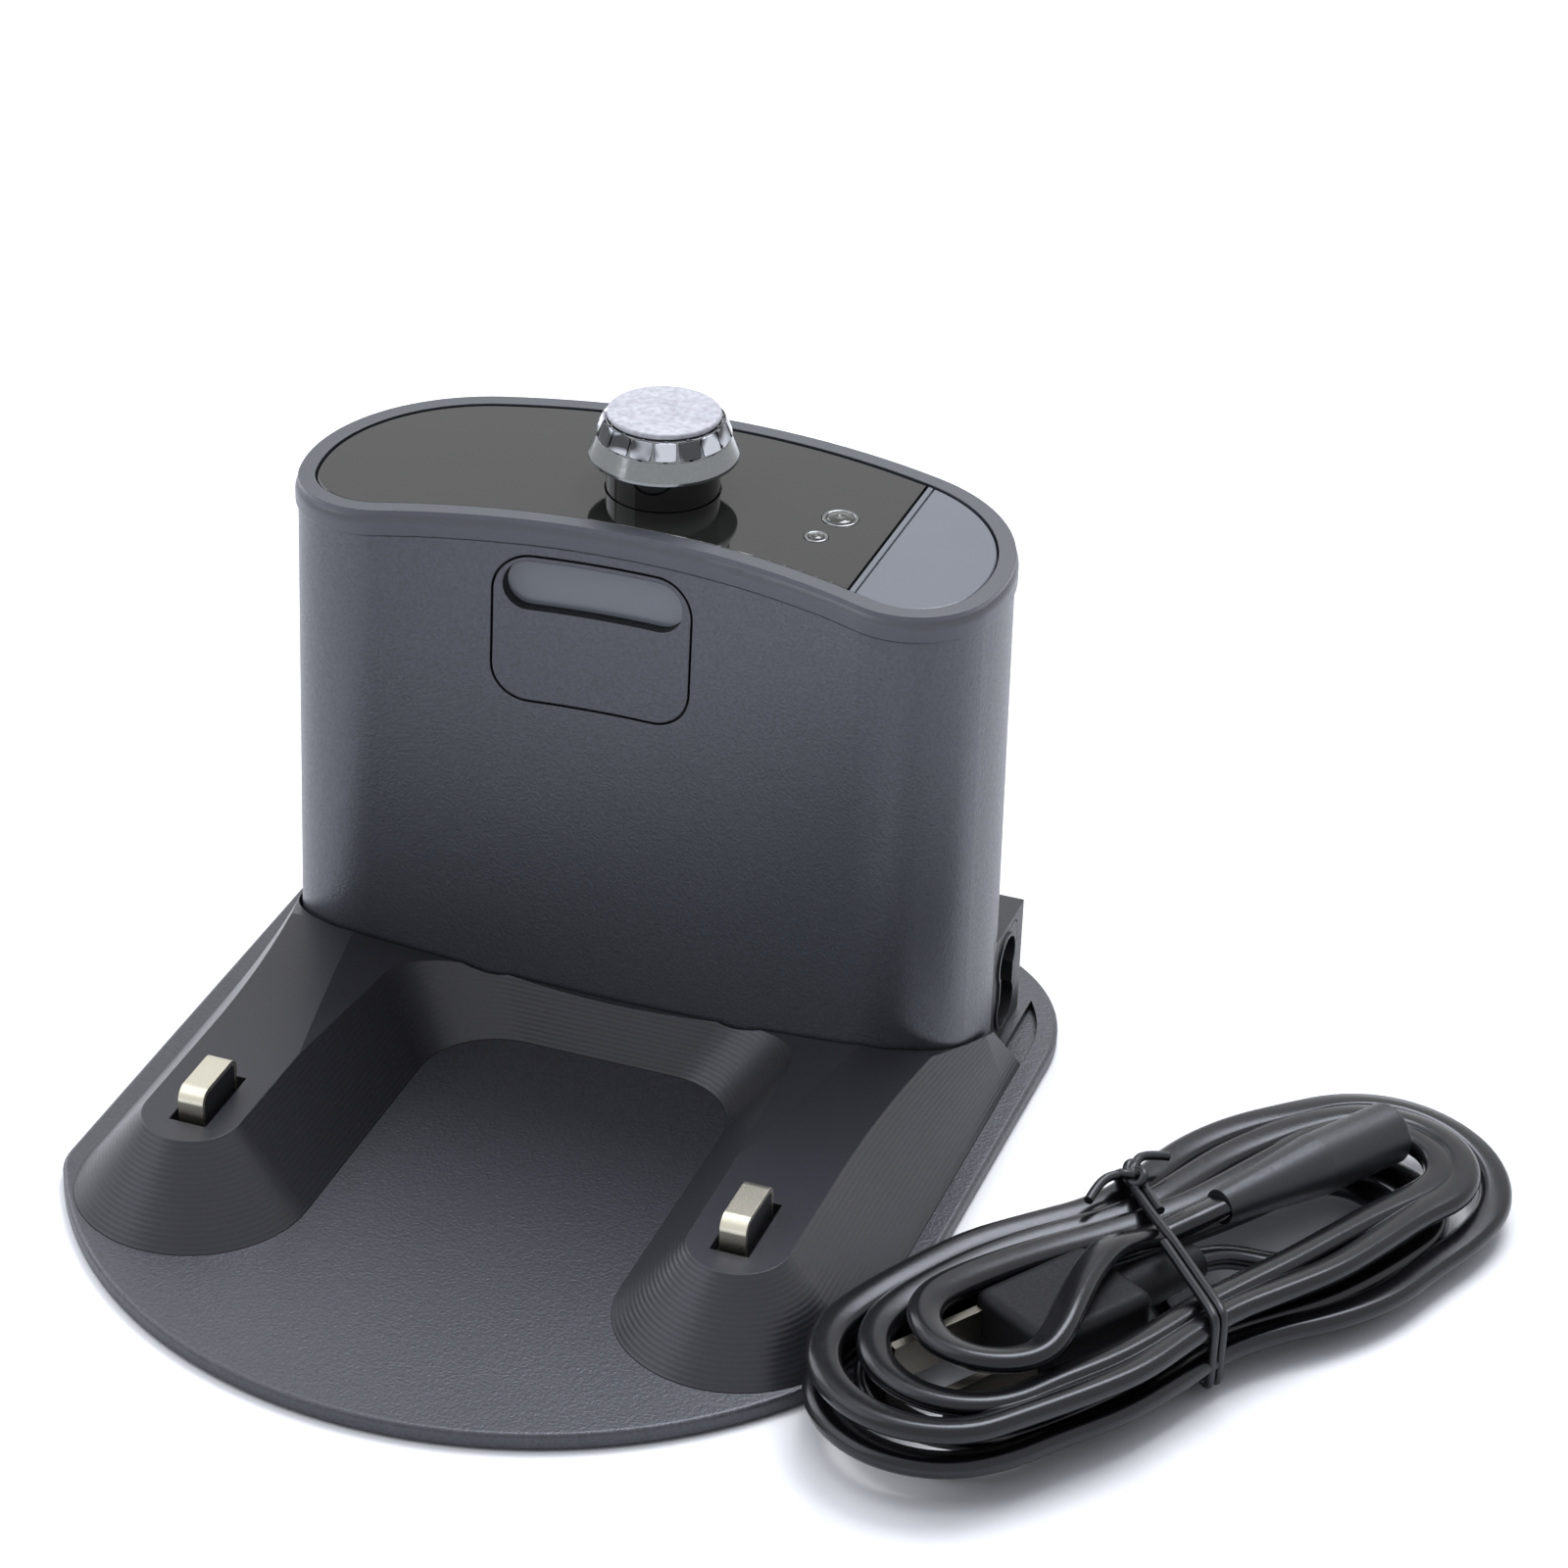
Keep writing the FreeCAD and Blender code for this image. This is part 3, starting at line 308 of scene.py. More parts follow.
FINISHES = {
    # Coarse pits scatter the light into a grey speckle
    "plate": MouldedPlastic("ABS plate, spark-eroded grain", "#242429", "#1f1f24", 0.42, 0.55, 0.16,
                            speck=0.6, gloss=0.8),
    # Fine level lines on the slopes, smooth on top
    "ridge": MouldedPlastic("ABS ridge, milled level steps", "#222227", "#1d1d21", 0.36, 0.5, 0.02,
                            step_mm=0.7, step_depth_mm=0.022, gloss=0.52),
    # Even satin that mirrors the floor as a soft fall from light to dark
    "tower": MouldedPlastic("ABS tower, satin grain", "#313339", "#2b2d33", 0.4, 0.55, 0.1,
                            speck=0.3, gloss=1.0),
    "plaque": MouldedPlastic("ABS plaque, satin grain", "#313339", "#2b2d33", 0.4, 0.55, 0.1,
                             speck=0.3, gloss=1.0),
    # The same plastic with its grain rubbed away
    "rim": MouldedPlastic("ABS rim, buffed", "#313339", "#2b2d33", 0.38, 0.5, 0.003, speck=0.05, gloss=1.0),
    # Dull black that takes little light; in the recesses it is painted shade
    "socket": MouldedPlastic("Nylon socket, moulded black", "#141416", "#0f0f11", 0.45, 0.5, 0.02),
    # Painted shade: near-black for the faces in the tower's recesses and on the plaque's edges
    "recess": MouldedPlastic("ABS recess, moulded in shade", "#0f1012", "#0b0b0d", 0.6, 0.5, 0.02),
    "rubber": MouldedPlastic("Rubber foot, moulded", "#1b1b1c", "#151516", 0.75, 0.6, 0.04),
    # Green lacquer over a faint weave, and glossy yellow turns
    "board": MouldedPlastic("Glass epoxy board, solder mask", "#1c5a34", "#174a2b", 0.35, 1.2, 0.02),
    "tape": MouldedPlastic("Polyester tape, wound", "#b8962c", "#a3842a", 0.4, 1.0, 0.02),
    # Slippery black with long bright highlights on the flex, duller where it was moulded
    "vinyl": MouldedPlastic("Vinyl lead sheath, extruded", "#101012", "#0c0c0e", 0.22, 0.9, 0.006,
                            cloud_mm=9.0, gloss=0.4),
    "plug": MouldedPlastic("Vinyl plug, moulded matt", "#0d0d0e", "#0a0a0b", 0.55, 0.6, 0.02, gloss=0.2),
    "connector": MouldedPlastic("Vinyl connector, moulded satin", "#1d1e20", "#18191b", 0.45, 0.6, 0.02),
    "sleeve": MouldedPlastic("Vinyl tie sleeve, extruded", "#121214", "#0d0d0f", 0.35, 0.5, 0.01),
    # Bright disc with mottled, slightly lilac patches
    "foil": MouldedPlastic("Silver lacquer disc, stippled", "#b6b6ba", "#9c9ca4", 0.4, 1.1, 0.12,
                           cloud_mm=4.0, speck=0.2),
    # Clear black gloss that mirrors the beacon
    "panel": PolishedPlastic("Acrylic panel, polished black", "#1a1c19", 0.05, coat=0.1),
    "neck": PolishedPlastic("Acrylic neck, smoked", "#0d0d0f", 0.05, coat=0.5),
    # Hazy grey with a soft sheen
    "end": PolishedPlastic("Acrylic end panel, satin grey", "#60646b", 0.22),
    "window": PolishedPlastic("Polycarbonate window, smoked", "#72767d", 0.2, edge_mm=0.05),
    # Dark glassy domes, and water-clear diodes
    "lens": PolishedPlastic("Polycarbonate lens, dark", "#1c211c", 0.06, coat=0.4),
    "clear": PolishedPlastic("Epoxy diode, clear", "#cfd6e2", 0.05, transmission=0.8),
    # Sharp bright and dark cells side by side; the dark ones are painted reflection
    "mirror": WorkedMetal("Vacuum-plated facet, polished", "#c6cad4", 0.05, 0.8, tarnish_and_painted_dark=0.12, painted_cell_mm=3.4),
    # Even mirror, greyed
    "chrome": WorkedMetal("Chrome plate, polished", "#85888a", 0.12, 0.6),
    # Soft streaks along the way each metal was rolled or drawn
    # Painted shade: the blades' colour is darkened for the shadow they lie in within the hank
    "blade": WorkedMetal("Brass blade, nickel-plated, painted shade", "#6f6c64", 0.38, 0.25, (1.0, 6.0, 1.0)),
    "nickel": WorkedMetal("Nickel strip, rolled", "#d8d4c4", 0.3, 0.25, (6.0, 1.0, 1.0)),
    "steel": WorkedMetal("Steel wire, drawn", "#9a9b9e", 0.3, 0.3, (1.0, 1.0, 4.0)),
    "can": WorkedMetal("Aluminium can, drawn", "#b9bbbf", 0.3, 0.3, (1.0, 0.2, 1.0)),
}

NODE_FINISH = {
    "base_plate": "plate", "ridge_cover": "ridge", "tower_shell": "tower", "front_plaque": "plaque",
    "window_lens": "window", "top_panel": "panel", "top_end_panel": "end", "beacon_neck": "neck",
    "beacon_flare": "chrome", "beacon_light_band": "chrome", "beacon_cap": "foil", "beacon_emitter": "clear",
    "status_lens": "lens", "pilot_lens": "lens", "status_leds": "clear", "light_board": "board",
    "inlet_socket": "socket", "inlet_pins": "nickel", "contact_left": "nickel", "contact_right": "nickel",
    "contact_carrier_left": "socket", "contact_carrier_right": "socket", "contact_spring_left": "steel",
    "contact_spring_right": "steel", "main_board": "board", "transformer": "tape", "capacitor": "can",
    "front_emitters": "clear", "base_screws": "steel", "rubber_feet": "rubber", "lead_hank": "vinyl",
    "lead_tie": "vinyl", "lead_connector": "connector", "lead_plug": "plug", "lead_plug_blades": "blade",
}


@dataclass
class Finisher:
    """Keeps one material per finish and dresses objects with them."""

    made: Dict[str, bpy.types.Material]

    def get(self, key: str) -> bpy.types.Material:
        """Return the material of a finish, made on first use."""
        if key not in self.made:
            self.made[key] = FINISHES[key].make()
        return self.made[key]

    def dress(self, obj: bpy.types.Object, key: str) -> None:
        """Give an object one finish all over."""
        obj.data.materials.clear()
        obj.data.materials.append(self.get(key))

    def dress_nodes(self) -> None:
        """Dress every node that came with the frame."""
        for name, key in NODE_FINISH.items():
            self.dress(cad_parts[name], key)
            LOG.info("dressed %s with %s", name, key)


def link(obj: bpy.types.Object) -> bpy.types.Object:
    """Put an object in the scene and return it."""
    bpy.context.scene.collection.objects.link(obj)
    return obj


def plain_mesh(obj: bpy.types.Object, name: str) -> bpy.types.Object:
    """Turn an evaluated object into a new object with a plain mesh, and remove the first one.

    Args:
        obj: curve or mesh with its modifiers.
        name: name of the new object.

    Returns:
        The new object, at the origin.
    """
    bpy.context.view_layer.update()
    graph = bpy.context.evaluated_depsgraph_get()
    mesh = bpy.data.meshes.new_from_object(obj.evaluated_get(graph), depsgraph=graph)
    bpy.data.objects.remove(obj, do_unlink=True)
    mesh.name = name
    return link(bpy.data.objects.new(name, mesh))


def spline(name: str, points: Sequence[Point], closed: bool = False, steps: int = 6) -> bpy.types.Object:
    """Make an unbevelled NURBS curve.

    Args:
        name: name of the object.
        points: control points in metres.
        closed: whether the curve runs back to its start.
        steps: points per span when it is made a mesh.

    Returns:
        The curve object.
    """
    data = bpy.data.curves.new(name, "CURVE")
    data.dimensions, data.resolution_u = "3D", steps
    line = data.splines.new("NURBS")
    line.points.add(len(points) - 1)
    for slot, point in zip(line.points, points):
        slot.co = (*point, 1.0)
    line.order_u, line.use_endpoint_u, line.use_cyclic_u = 3, not closed, closed
    return link(bpy.data.objects.new(name, data))


class NodeShape:
    """Geometry Nodes tree with named inputs that is run to give a plain mesh."""

    def __init__(self, name: str, sockets: Dict[str, str]) -> None:
        """Make the tree with its named inputs.

        Args:
            name: name of the tree.
            sockets: type of each input by its label.
        """
        self.tree = bpy.data.node_groups.new(name, "GeometryNodeTree")
        face = self.tree.interface
        face.new_socket("Geometry", in_out="OUTPUT", socket_type="NodeSocketGeometry")
        face.new_socket("Geometry", in_out="INPUT", socket_type="NodeSocketGeometry")
        self.inputs = {
            label: face.new_socket(label, in_out="INPUT", socket_type="NodeSocket" + kind).identifier
            for label, kind in sockets.items()}
        self.build()

    def build(self) -> None:
        """Add the nodes; each shape has its own."""
        raise NotImplementedError

    def run(self, obj: bpy.types.Object, name: str, values: Dict) -> bpy.types.Object:
        """Run the tree on an object and return the plain mesh.

        Args:
            obj: curve or empty mesh, which is used up.
            name: name of the new object.
            values: input values by label.

        Returns:
            The finished piece.
        """
        modifier = obj.modifiers.new("shape", "NODES")
        modifier.node_group = self.tree
        for label, value in values.items():
            modifier[self.inputs[label]] = value
        return plain_mesh(obj, name)


class Sweep(NodeShape):
    """Sweeps an upright section of two joined cores along a curve."""

    def __init__(self) -> None:
        """Make the tree with the flex's sizes as inputs."""
        super().__init__("Flat flex sweep", {"Core radius": "Float", "Core offset": "Float", "Twist": "Float",
                                             "Material": "Material"})

    def build(self) -> None:
        """Add the nodes: section, upright normals with a slow twist, sweep, mesh and material."""
        tree = self.tree
        start = add(tree, "NodeGroupInput").outputs
        circle = add(tree, "GeometryNodeCurvePrimitiveCircle", {"Resolution": 14},
                     {"Radius": start["Core radius"]})
        place = add(tree, "GeometryNodeInputPosition").outputs[0]
        parts = add(tree, "ShaderNodeSeparateXYZ", links={0: place})
        side = add(tree, "ShaderNodeMath", {"operation": "SIGN"}, {0: parts.outputs["X"]})
        shift = add(tree, "ShaderNodeMath", {"operation": "MULTIPLY"},
                    {0: side.outputs[0], 1: start["Core offset"]})
        offset = add(tree, "ShaderNodeCombineXYZ", links={"X": shift.outputs[0]})
        section = add(tree, "GeometryNodeSetPosition", links={"Geometry": circle.outputs[0],
                                                              "Offset": offset.outputs[0]})
        upright = add(tree, "GeometryNodeSetCurveNormal", {"mode": "Z_UP"}, {"Curve": start["Geometry"]})
        # The flex rolls a little one way and the other about every 70 mm
        noise = add(tree, "ShaderNodeTexNoise", {"Scale": 14.0, "Detail": 0.0}, {"Vector": place})
        turn = add(tree, "ShaderNodeMapRange", {1: NOISE_LOW, 2: NOISE_HIGH, 3: -1.0, 4: 1.0},
                   {0: noise.outputs[0]})
        tilt = add(tree, "ShaderNodeMath", {"operation": "MULTIPLY"}, {0: turn.outputs[0], 1: start["Twist"]})
        twisted = add(tree, "GeometryNodeSetCurveTilt", links={"Curve": upright.outputs[0],
                                                               "Tilt": tilt.outputs[0]})
        tube = add(tree, "GeometryNodeCurveToMesh", {"Fill Caps": True},
                   {"Curve": twisted.outputs[0], "Profile Curve": section.outputs[0]})
        real = add(tree, "GeometryNodeRealizeInstances", links={"Geometry": tube.outputs[0]})
        smooth = add(tree, "GeometryNodeSetShadeSmooth", links={"Geometry": real.outputs[0]})
        dressed = add(tree, "GeometryNodeSetMaterial", links={"Geometry": smooth.outputs[0],
                                                              "Material": start["Material"]})
        add(tree, "NodeGroupOutput", links={"Geometry": dressed.outputs[0]})


def ease(value: float, start: float, end: float) -> float:
    """Smooth step from 0 at start to 1 at end."""
    share = min(max((value - start) / (end - start), 0.0), 1.0)
    return share * share * (3 - 2 * share)


@dataclass
class Lead:
    """Mains lead: flat two-core flex in a loose tied hank, from connector to plug, in millimetres.

    The route is given along, across and above the hank (u, v, w). Spans are in laps.
    """

    finisher: Finisher
    near: Tuple[float, float] = (80.5, -46.5)
    far: Tuple[float, float] = (129.0, 33.0)
    rise: float = 3.5
    tilt: float = math.radians(1.6)
    core_radius: float = 1.62
    core_offset: float = 1.05
    inner_ring: float = 10.4
    ring_step: float = 3.5
    low_layer: float = 2.9
    high_layer: float = 8.8
    near_loop: Span = (0.15, 0.35)
    far_loop: Span = (0.65, 0.85)
    steps_out: Tuple[Span, ...] = ((0.85, 1.15), (1.85, 2.15))
    steps_in: Tuple[Span, ...] = ((3.35, 3.65), (4.35, 4.65))
    off_blades: Span = (0.3, 0.5)
    to_low_layer: Span = (2.6, 2.9)
    lap_step: float = 0.035
    near_ends: Tuple[float, ...] = (9.0, 4.0, -1.2, -1.4, 4.0, 4.0)
    far_ends: Tuple[float, ...] = (-4.5, -4.0, -1.0, -10.0, -14.0)
    over_blades: float = 3.2
    bulge: float = 0.42
    pinch: float = 1.6
    pinch_reach: float = 18.0
    sway: float = 0.8
    twist: float = 0.3
    hand: float = -1.0
    first_lap: float = 0.15
    last_lap: float = 4.86
    tie_radius: float = 0.75
    tie_slack: float = 0.5
    tie_points: int = 24
    tie_apart: float = 0.85
    tie_square: Tuple[float, float] = (1.35, 1.6)
    tie_pitch: float = 1.2
    tie_shift: float = -2.0
    tie_skew: float = 7.0
    knot_size: float = 0.8
    knot_points: int = 18
    knot_inset: float = 3.5
    knot_lift: float = 0.9
    connector_tail: Point = (58.5, 3.9, 10.5)
    plug_tail: Point = (50.3, 0.0, 5.9)

    def __post_init__(self) -> None:
        """Work out the hank's length and direction."""
        dx, dy = self.far[0] - self.near[0], self.far[1] - self.near[1]
        self.run = math.hypot(dx, dy)
        self.turn = (Matrix.Translation((self.near[0], self.near[1], self.rise))
                     @ Matrix.Rotation(math.atan2(dy, dx), 4, "Z") @ Matrix.Rotation(self.tilt, 4, "Y"))

    def lay(self, u: float, v: float, w: float) -> Point:
        """Place a point given along, across and above the hank, in metres."""
        return tuple((self.turn @ Vector((u, v, w))) * MM)

    def ring(self, lap: float) -> float:
        """Half the hank's width at a lap: turns step outwards above, then inwards in the lower layer."""
        out = sum(ease(lap, *span) for span in self.steps_out)
        back = sum(ease(lap, *span) for span in self.steps_in)
        return self.inner_ring + self.ring_step * (out - back)

    def level(self, lap: float) -> float:
        """Height at a lap: over the plug's blades first, later down to the lower layer in a far loop."""
        drop = (self.high_layer - self.low_layer) * ease(lap, *self.to_low_layer)
        return self.high_layer + self.over_blades * (1 - ease(lap, *self.off_blades)) - drop

    def tie_place(self, share: float) -> float:
        """Where the tie crosses the hank, from -1 at its front edge to 1 at its back edge."""
        return self.run / 2 + self.tie_shift + self.tie_skew * share

    def station(self, lap: float) -> Point:
        """Point of the route at a lap.

        A lap has a near loop, a front run, a far loop and a back run, and starts in the middle of a back run.

        Args:
            lap: laps from the start of the hank.

        Returns:
            The place along, across and above the hank.
        """
        number, share = int(lap), lap % 1.0
        radius, height = self.ring(lap), self.level(lap)
        near_u, far_u = self.near_ends[number], self.run + self.far_ends[number]
        (near_from, near_to), (far_from, far_to) = self.near_loop, self.far_loop
        run_share = far_from - near_to
        if near_from <= share < near_to:
            turn = math.pi * (0.5 + (share - near_from) / (near_to - near_from))
            return (near_u + radius * math.cos(turn), self.hand * radius * math.sin(turn), height)
        if far_from <= share < far_to:
            turn = math.pi * (-0.5 + (share - far_from) / (far_to - far_from))
            return (far_u + radius * math.cos(turn), self.hand * radius * math.sin(turn), height)
        if near_to <= share < far_from:
            along, side = (share - near_to) / run_share, -1.0
            u = near_u + (far_u - near_u) * along
        else:
            late = share >= far_to
            along, side = (share - far_to if late else share + 1 - far_to) / run_share, 1.0
            start = far_u if late else self.run + self.far_ends[max(number - 1, 0)]
            end = self.near_ends[number + 1 if late else number]
            u = start + (end - start) * along
        tied = self.tie_place(self.hand * side)
        drawn = self.pinch * math.exp(-((u - tied) / self.pinch_reach) ** 2)
        loose = self.bulge * (radius - self.inner_ring) * math.sin(2 * math.pi * along) ** 2
        sway = self.sway * math.sin(2 * math.pi * along + lap)
        return (u, self.hand * side * (radius - drawn + loose) + sway, height)

    def route(self) -> List[Point]:
        """Control points from the connector's tail through the laps to the plug's tail."""
        # Out of the connector, under the tie, then in a low hump over the plug
        points = [self.connector_tail, (54.5, 3.9, 10.4), (50.5, 4.6, 9.6), (46.5, 5.3, 8.9),
                  (41.0, 4.4, 11.0), (34.0, 2.4, 13.8), (27.0, -0.6, 13.9), (20.0, -5.0, 13.8),
                  (14.0, -8.8, 13.0)]
        lap = self.first_lap
        while lap < self.last_lap:
            points.append(self.station(lap))
            lap += self.lap_step
        # From the lower layer up into the plug's strain relief
        u, v, w = self.plug_tail
        low = self.low_layer
        points += [(u + 24, -9.6, low), (u + 17, -8.4, low + 0.1), (u + 12, -5.4, low + 0.6),
                   (u + 8, -2.0, low + 1.6), (u + 4, -0.2, w - 0.5), (u, v, w)]
        return [self.lay(*point) for point in points]

    def build(self) -> None:
        points = self.route()
        line = plain_mesh(spline("lead line", points), "lead line")
        bpy.data.objects.remove(line, do_unlink=True)
        flex = Sweep().run(spline("lead", points), "lead_flex", {
            "Core radius": self.core_radius * MM, "Core offset": self.core_offset * MM, "Twist": self.twist,
            "Material": self.finisher.get("vinyl")})
        tie = self.build_tie()
        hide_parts("lead_hank")
        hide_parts("lead_tie")
        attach(flex, Body.DOCK.value)
        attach(tie, Body.DOCK.value)

    def build_tie(self) -> bpy.types.Object:
        """Wind a sleeved wire twice about the hank's middle and knot it on the back side.

        Returns:
            The tie, its knot and its two ends as one piece.
        """
        half = (self.inner_ring + 2 * self.ring_step - self.pinch + self.core_radius + self.tie_radius
                + self.tie_slack)
        top = self.high_layer + self.core_radius + self.core_offset + self.tie_radius
        low = -self.tie_radius - 0.1
        points = []
        wide, tall = self.tie_square
        for shift in (-self.tie_apart, self.tie_apart):
            for index in range(self.tie_points):
                round_share = index / self.tie_points
                angle = 2 * math.pi * round_share + math.pi / 2
                c, s = math.cos(angle), math.sin(angle)
                v = math.copysign(min(abs(c) * wide, 1.0), c) * half
                w = (top + low) / 2 + math.copysign(min(abs(s) * tall, 1.0), s) * (top - low) / 2
                u = self.tie_place(v / half) + shift + self.tie_pitch * (round_share - 0.5)
                points.append(self.lay(u, v, w))
        knot_v, knot_w = half - self.knot_inset, top + self.knot_lift
        middle = self.tie_place(knot_v / half)
        knot = []
        for index in range(self.knot_points):
            t = 2 * math.pi * index / self.knot_points
            knot.append(self.lay(middle + self.knot_size * (math.sin(t) + 2 * math.sin(2 * t)),
                                 knot_v + self.knot_size * (math.cos(t) - 2 * math.cos(2 * t)),
                                 knot_w + self.knot_size * (0.4 - math.sin(3 * t))))
        ends = [[self.lay(middle + u, knot_v + v, knot_w + w) for u, v, w in end] for end in (
            ((0, 0, 0.4), (-3, 1.0, 0.9), (-6.5, 0.6, 0.6), (-10, -1.2, -0.1)),
            ((0, 0, 0.4), (2.5, 2.0, 1.0), (5.5, 2.2, 0.6), (8.5, 0.8, -0.1)))]
        pieces = []
        for line, closed in ((points, False), (knot, True), (ends[0], False), (ends[1], False)):
            curve = spline("tie", line, closed, steps=4)
            curve.data.bevel_depth, curve.data.bevel_resolution = self.tie_radius * MM, 3
            curve.data.use_fill_caps = not closed
            pieces.append(plain_mesh(curve, "lead_wire_tie"))
        tie = joined(pieces)
        self.finisher.dress(tie, "sleeve")
        return tie


def joined(pieces: Sequence[bpy.types.Object]) -> bpy.types.Object:
    """Join mesh objects into the first one.

    Args:
        pieces: objects at the origin; all but the first are used up.

    Returns:
        The first object, with all their faces.
    """
    shape = bmesh.new()
    for piece in pieces:
        shape.from_mesh(piece.data)
    shape.to_mesh(pieces[0].data)
    shape.free()
    for piece in pieces[1:]:
        bpy.data.objects.remove(piece, do_unlink=True)
    pieces[0].data.polygons.foreach_set("use_smooth", [True] * len(pieces[0].data.polygons))
    return pieces[0]


def lathe(name: str, axis: Tuple[float, float], profile: Sequence[Tuple[float, float]],
          segments: int = 48) -> bpy.types.Object:
    """Turn a closed profile about an upright axis.

    Args:
        name: name of the object.
        axis: place of the axis in millimetres.
        profile: radius and height points in millimetres, anticlockwise, outside to the right.
        segments: steps about the axis.

    Returns:
        The turned ring, shaded smooth.
    """
    shape = bmesh.new()
    rings = []
    for step in range(segments):
        angle = 2 * math.pi * step / segments
        c, s = math.cos(angle), math.sin(angle)
        rings.append([shape.verts.new(((axis[0] + r * c) * MM, (axis[1] + r * s) * MM, z * MM))
                      for r, z in profile])
    count = len(profile)
    for step in range(segments):
        here, there = rings[step], rings[(step + 1) % segments]
        for i in range(count):
            j = (i + 1) % count
            shape.faces.new((here[i], there[i], there[j], here[j]))
    bmesh.ops.recalc_face_normals(shape, faces=shape.faces)
    mesh = bpy.data.meshes.new(name)
    shape.to_mesh(mesh)
    shape.free()
    mesh.polygons.foreach_set("use_smooth", [True] * len(mesh.polygons))
    return link(bpy.data.objects.new(name, mesh))


class Around(NodeShape):
    """Sets pillow-shaped facets round a leaning band."""

    def __init__(self) -> None:
        """Make the tree with the ring's sizes as inputs."""
        super().__init__("Facets round a band", {"Count": "Int", "Radius": "Float", "Centre": "Vector",
                                                 "Size": "Vector", "Lean": "Float", "Material": "Material"})

    def build(self) -> None:
        """Add the nodes: points on a circle, a pillow on each, turned outwards and leaning in."""
        tree = self.tree
        start = add(tree, "NodeGroupInput").outputs
        circle = add(tree, "GeometryNodeMeshCircle",
                     links={"Vertices": start["Count"], "Radius": start["Radius"]})
        place = add(tree, "GeometryNodeInputPosition").outputs[0]
        cube = add(tree, "GeometryNodeMeshCube", links={"Size": start["Size"]})
        pillow = add(tree, "GeometryNodeSubdivisionSurface", {"Level": 2, "Edge Crease": 0.62},
                     {"Mesh": cube.outputs[0]})
        lean = add(tree, "ShaderNodeCombineXYZ", links={"Y": start["Lean"]})
        leaning = add(tree, "GeometryNodeTransform", links={"Geometry": pillow.outputs[0],
                                                            "Rotation": lean.outputs[0]})
        turn = add(tree, "FunctionNodeAlignRotationToVector", {"axis": "X"}, {"Vector": place})
        copies = add(tree, "GeometryNodeInstanceOnPoints", links={
            "Points": circle.outputs[0], "Instance": leaning.outputs[0], "Rotation": turn.outputs[0]})
        moved = add(tree, "GeometryNodeTransform", links={"Geometry": copies.outputs[0],
                                                          "Translation": start["Centre"]})
        real = add(tree, "GeometryNodeRealizeInstances", links={"Geometry": moved.outputs[0]})
        dressed = add(tree, "GeometryNodeSetMaterial", links={"Geometry": real.outputs[0],
                                                              "Material": start["Material"]})
        add(tree, "NodeGroupOutput", links={"Geometry": dressed.outputs[0]})


@dataclass
class Beacon:
    """Mirror facets on the slope of the beacon's light band, in millimetres."""

    finisher: Finisher
    facets: int = 16
    facet_width: float = 3.6
    facet_height: float = 3.1
    facet_depth: float = 0.9
    sink: float = 0.12
    cap_gap: float = 0.25

    def build(self) -> None:
        """Set the facets on the band's slope."""
        low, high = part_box("beacon_light_band")
        foot, top = low[2] / MM, high[2] / MM
        outer = (high[0] - low[0]) / 2 / MM
        slope = outer - self.cap_edge()
        lean = -math.atan2(slope, top - foot)
        middle = (outer - slope / 2) - self.sink
        holder = link(bpy.data.objects.new("beacon_facets", bpy.data.meshes.new("beacon_facets")))
        ring = Around().run(holder, "beacon_facets", {
            "Count": self.facets, "Radius": middle * MM,
            "Centre": ((low[0] + high[0]) / 2, (low[1] + high[1]) / 2, (low[2] + high[2]) / 2),
            "Size": (self.facet_depth * MM, self.facet_width * MM, self.facet_height * MM),
            "Lean": lean, "Material": self.finisher.get("mirror")})
        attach(ring, Body.DOCK.value)
        LOG.info("beacon facets: %d faces", len(ring.data.polygons))

    def cap_edge(self) -> float:
        """Radius of the band's top, just outside the cap's edge."""
        low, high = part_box("beacon_cap")
        return (high[0] - low[0]) / 2 / MM + self.cap_gap


@dataclass
class StatusLights:
    """Plated rings about the two status lights and the dark dome in each, in millimetres."""

    finisher: Finisher
    ring_width: float = 0.55
    ring_height: float = 0.3
    sink: float = 0.15

    def build(self) -> None:
        """Turn a ring just inside each lens's edge, and a low dome within it."""
        for node in ("status_lens", "pilot_lens"):
            low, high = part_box(node)
            axis = ((low[0] + high[0]) / 2 / MM, (low[1] + high[1]) / 2 / MM)
            radius, top = (high[0] - low[0]) / 2 / MM, high[2] / MM
            inner, foot = radius - self.ring_width, top - self.sink
            crown = top + self.ring_height - self.sink
            ring = lathe(node + "_ring", axis, [
                (inner, foot), (radius, foot), (radius, crown - 0.1), (radius - 0.1, crown),
                (inner + 0.15, crown), (inner, crown - 0.15)])
            self.finisher.dress(ring, "chrome")
            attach(ring, Body.DOCK.value)
            dome = lathe(node + "_dome", axis, [
                (0.01, foot), (inner - 0.05, foot), (inner - 0.05, top), (inner * 0.75, top + 0.22),
                (inner * 0.4, top + 0.34), (0.01, top + 0.38)])
            self.finisher.dress(dome, "lens")
            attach(dome, Body.DOCK.value)


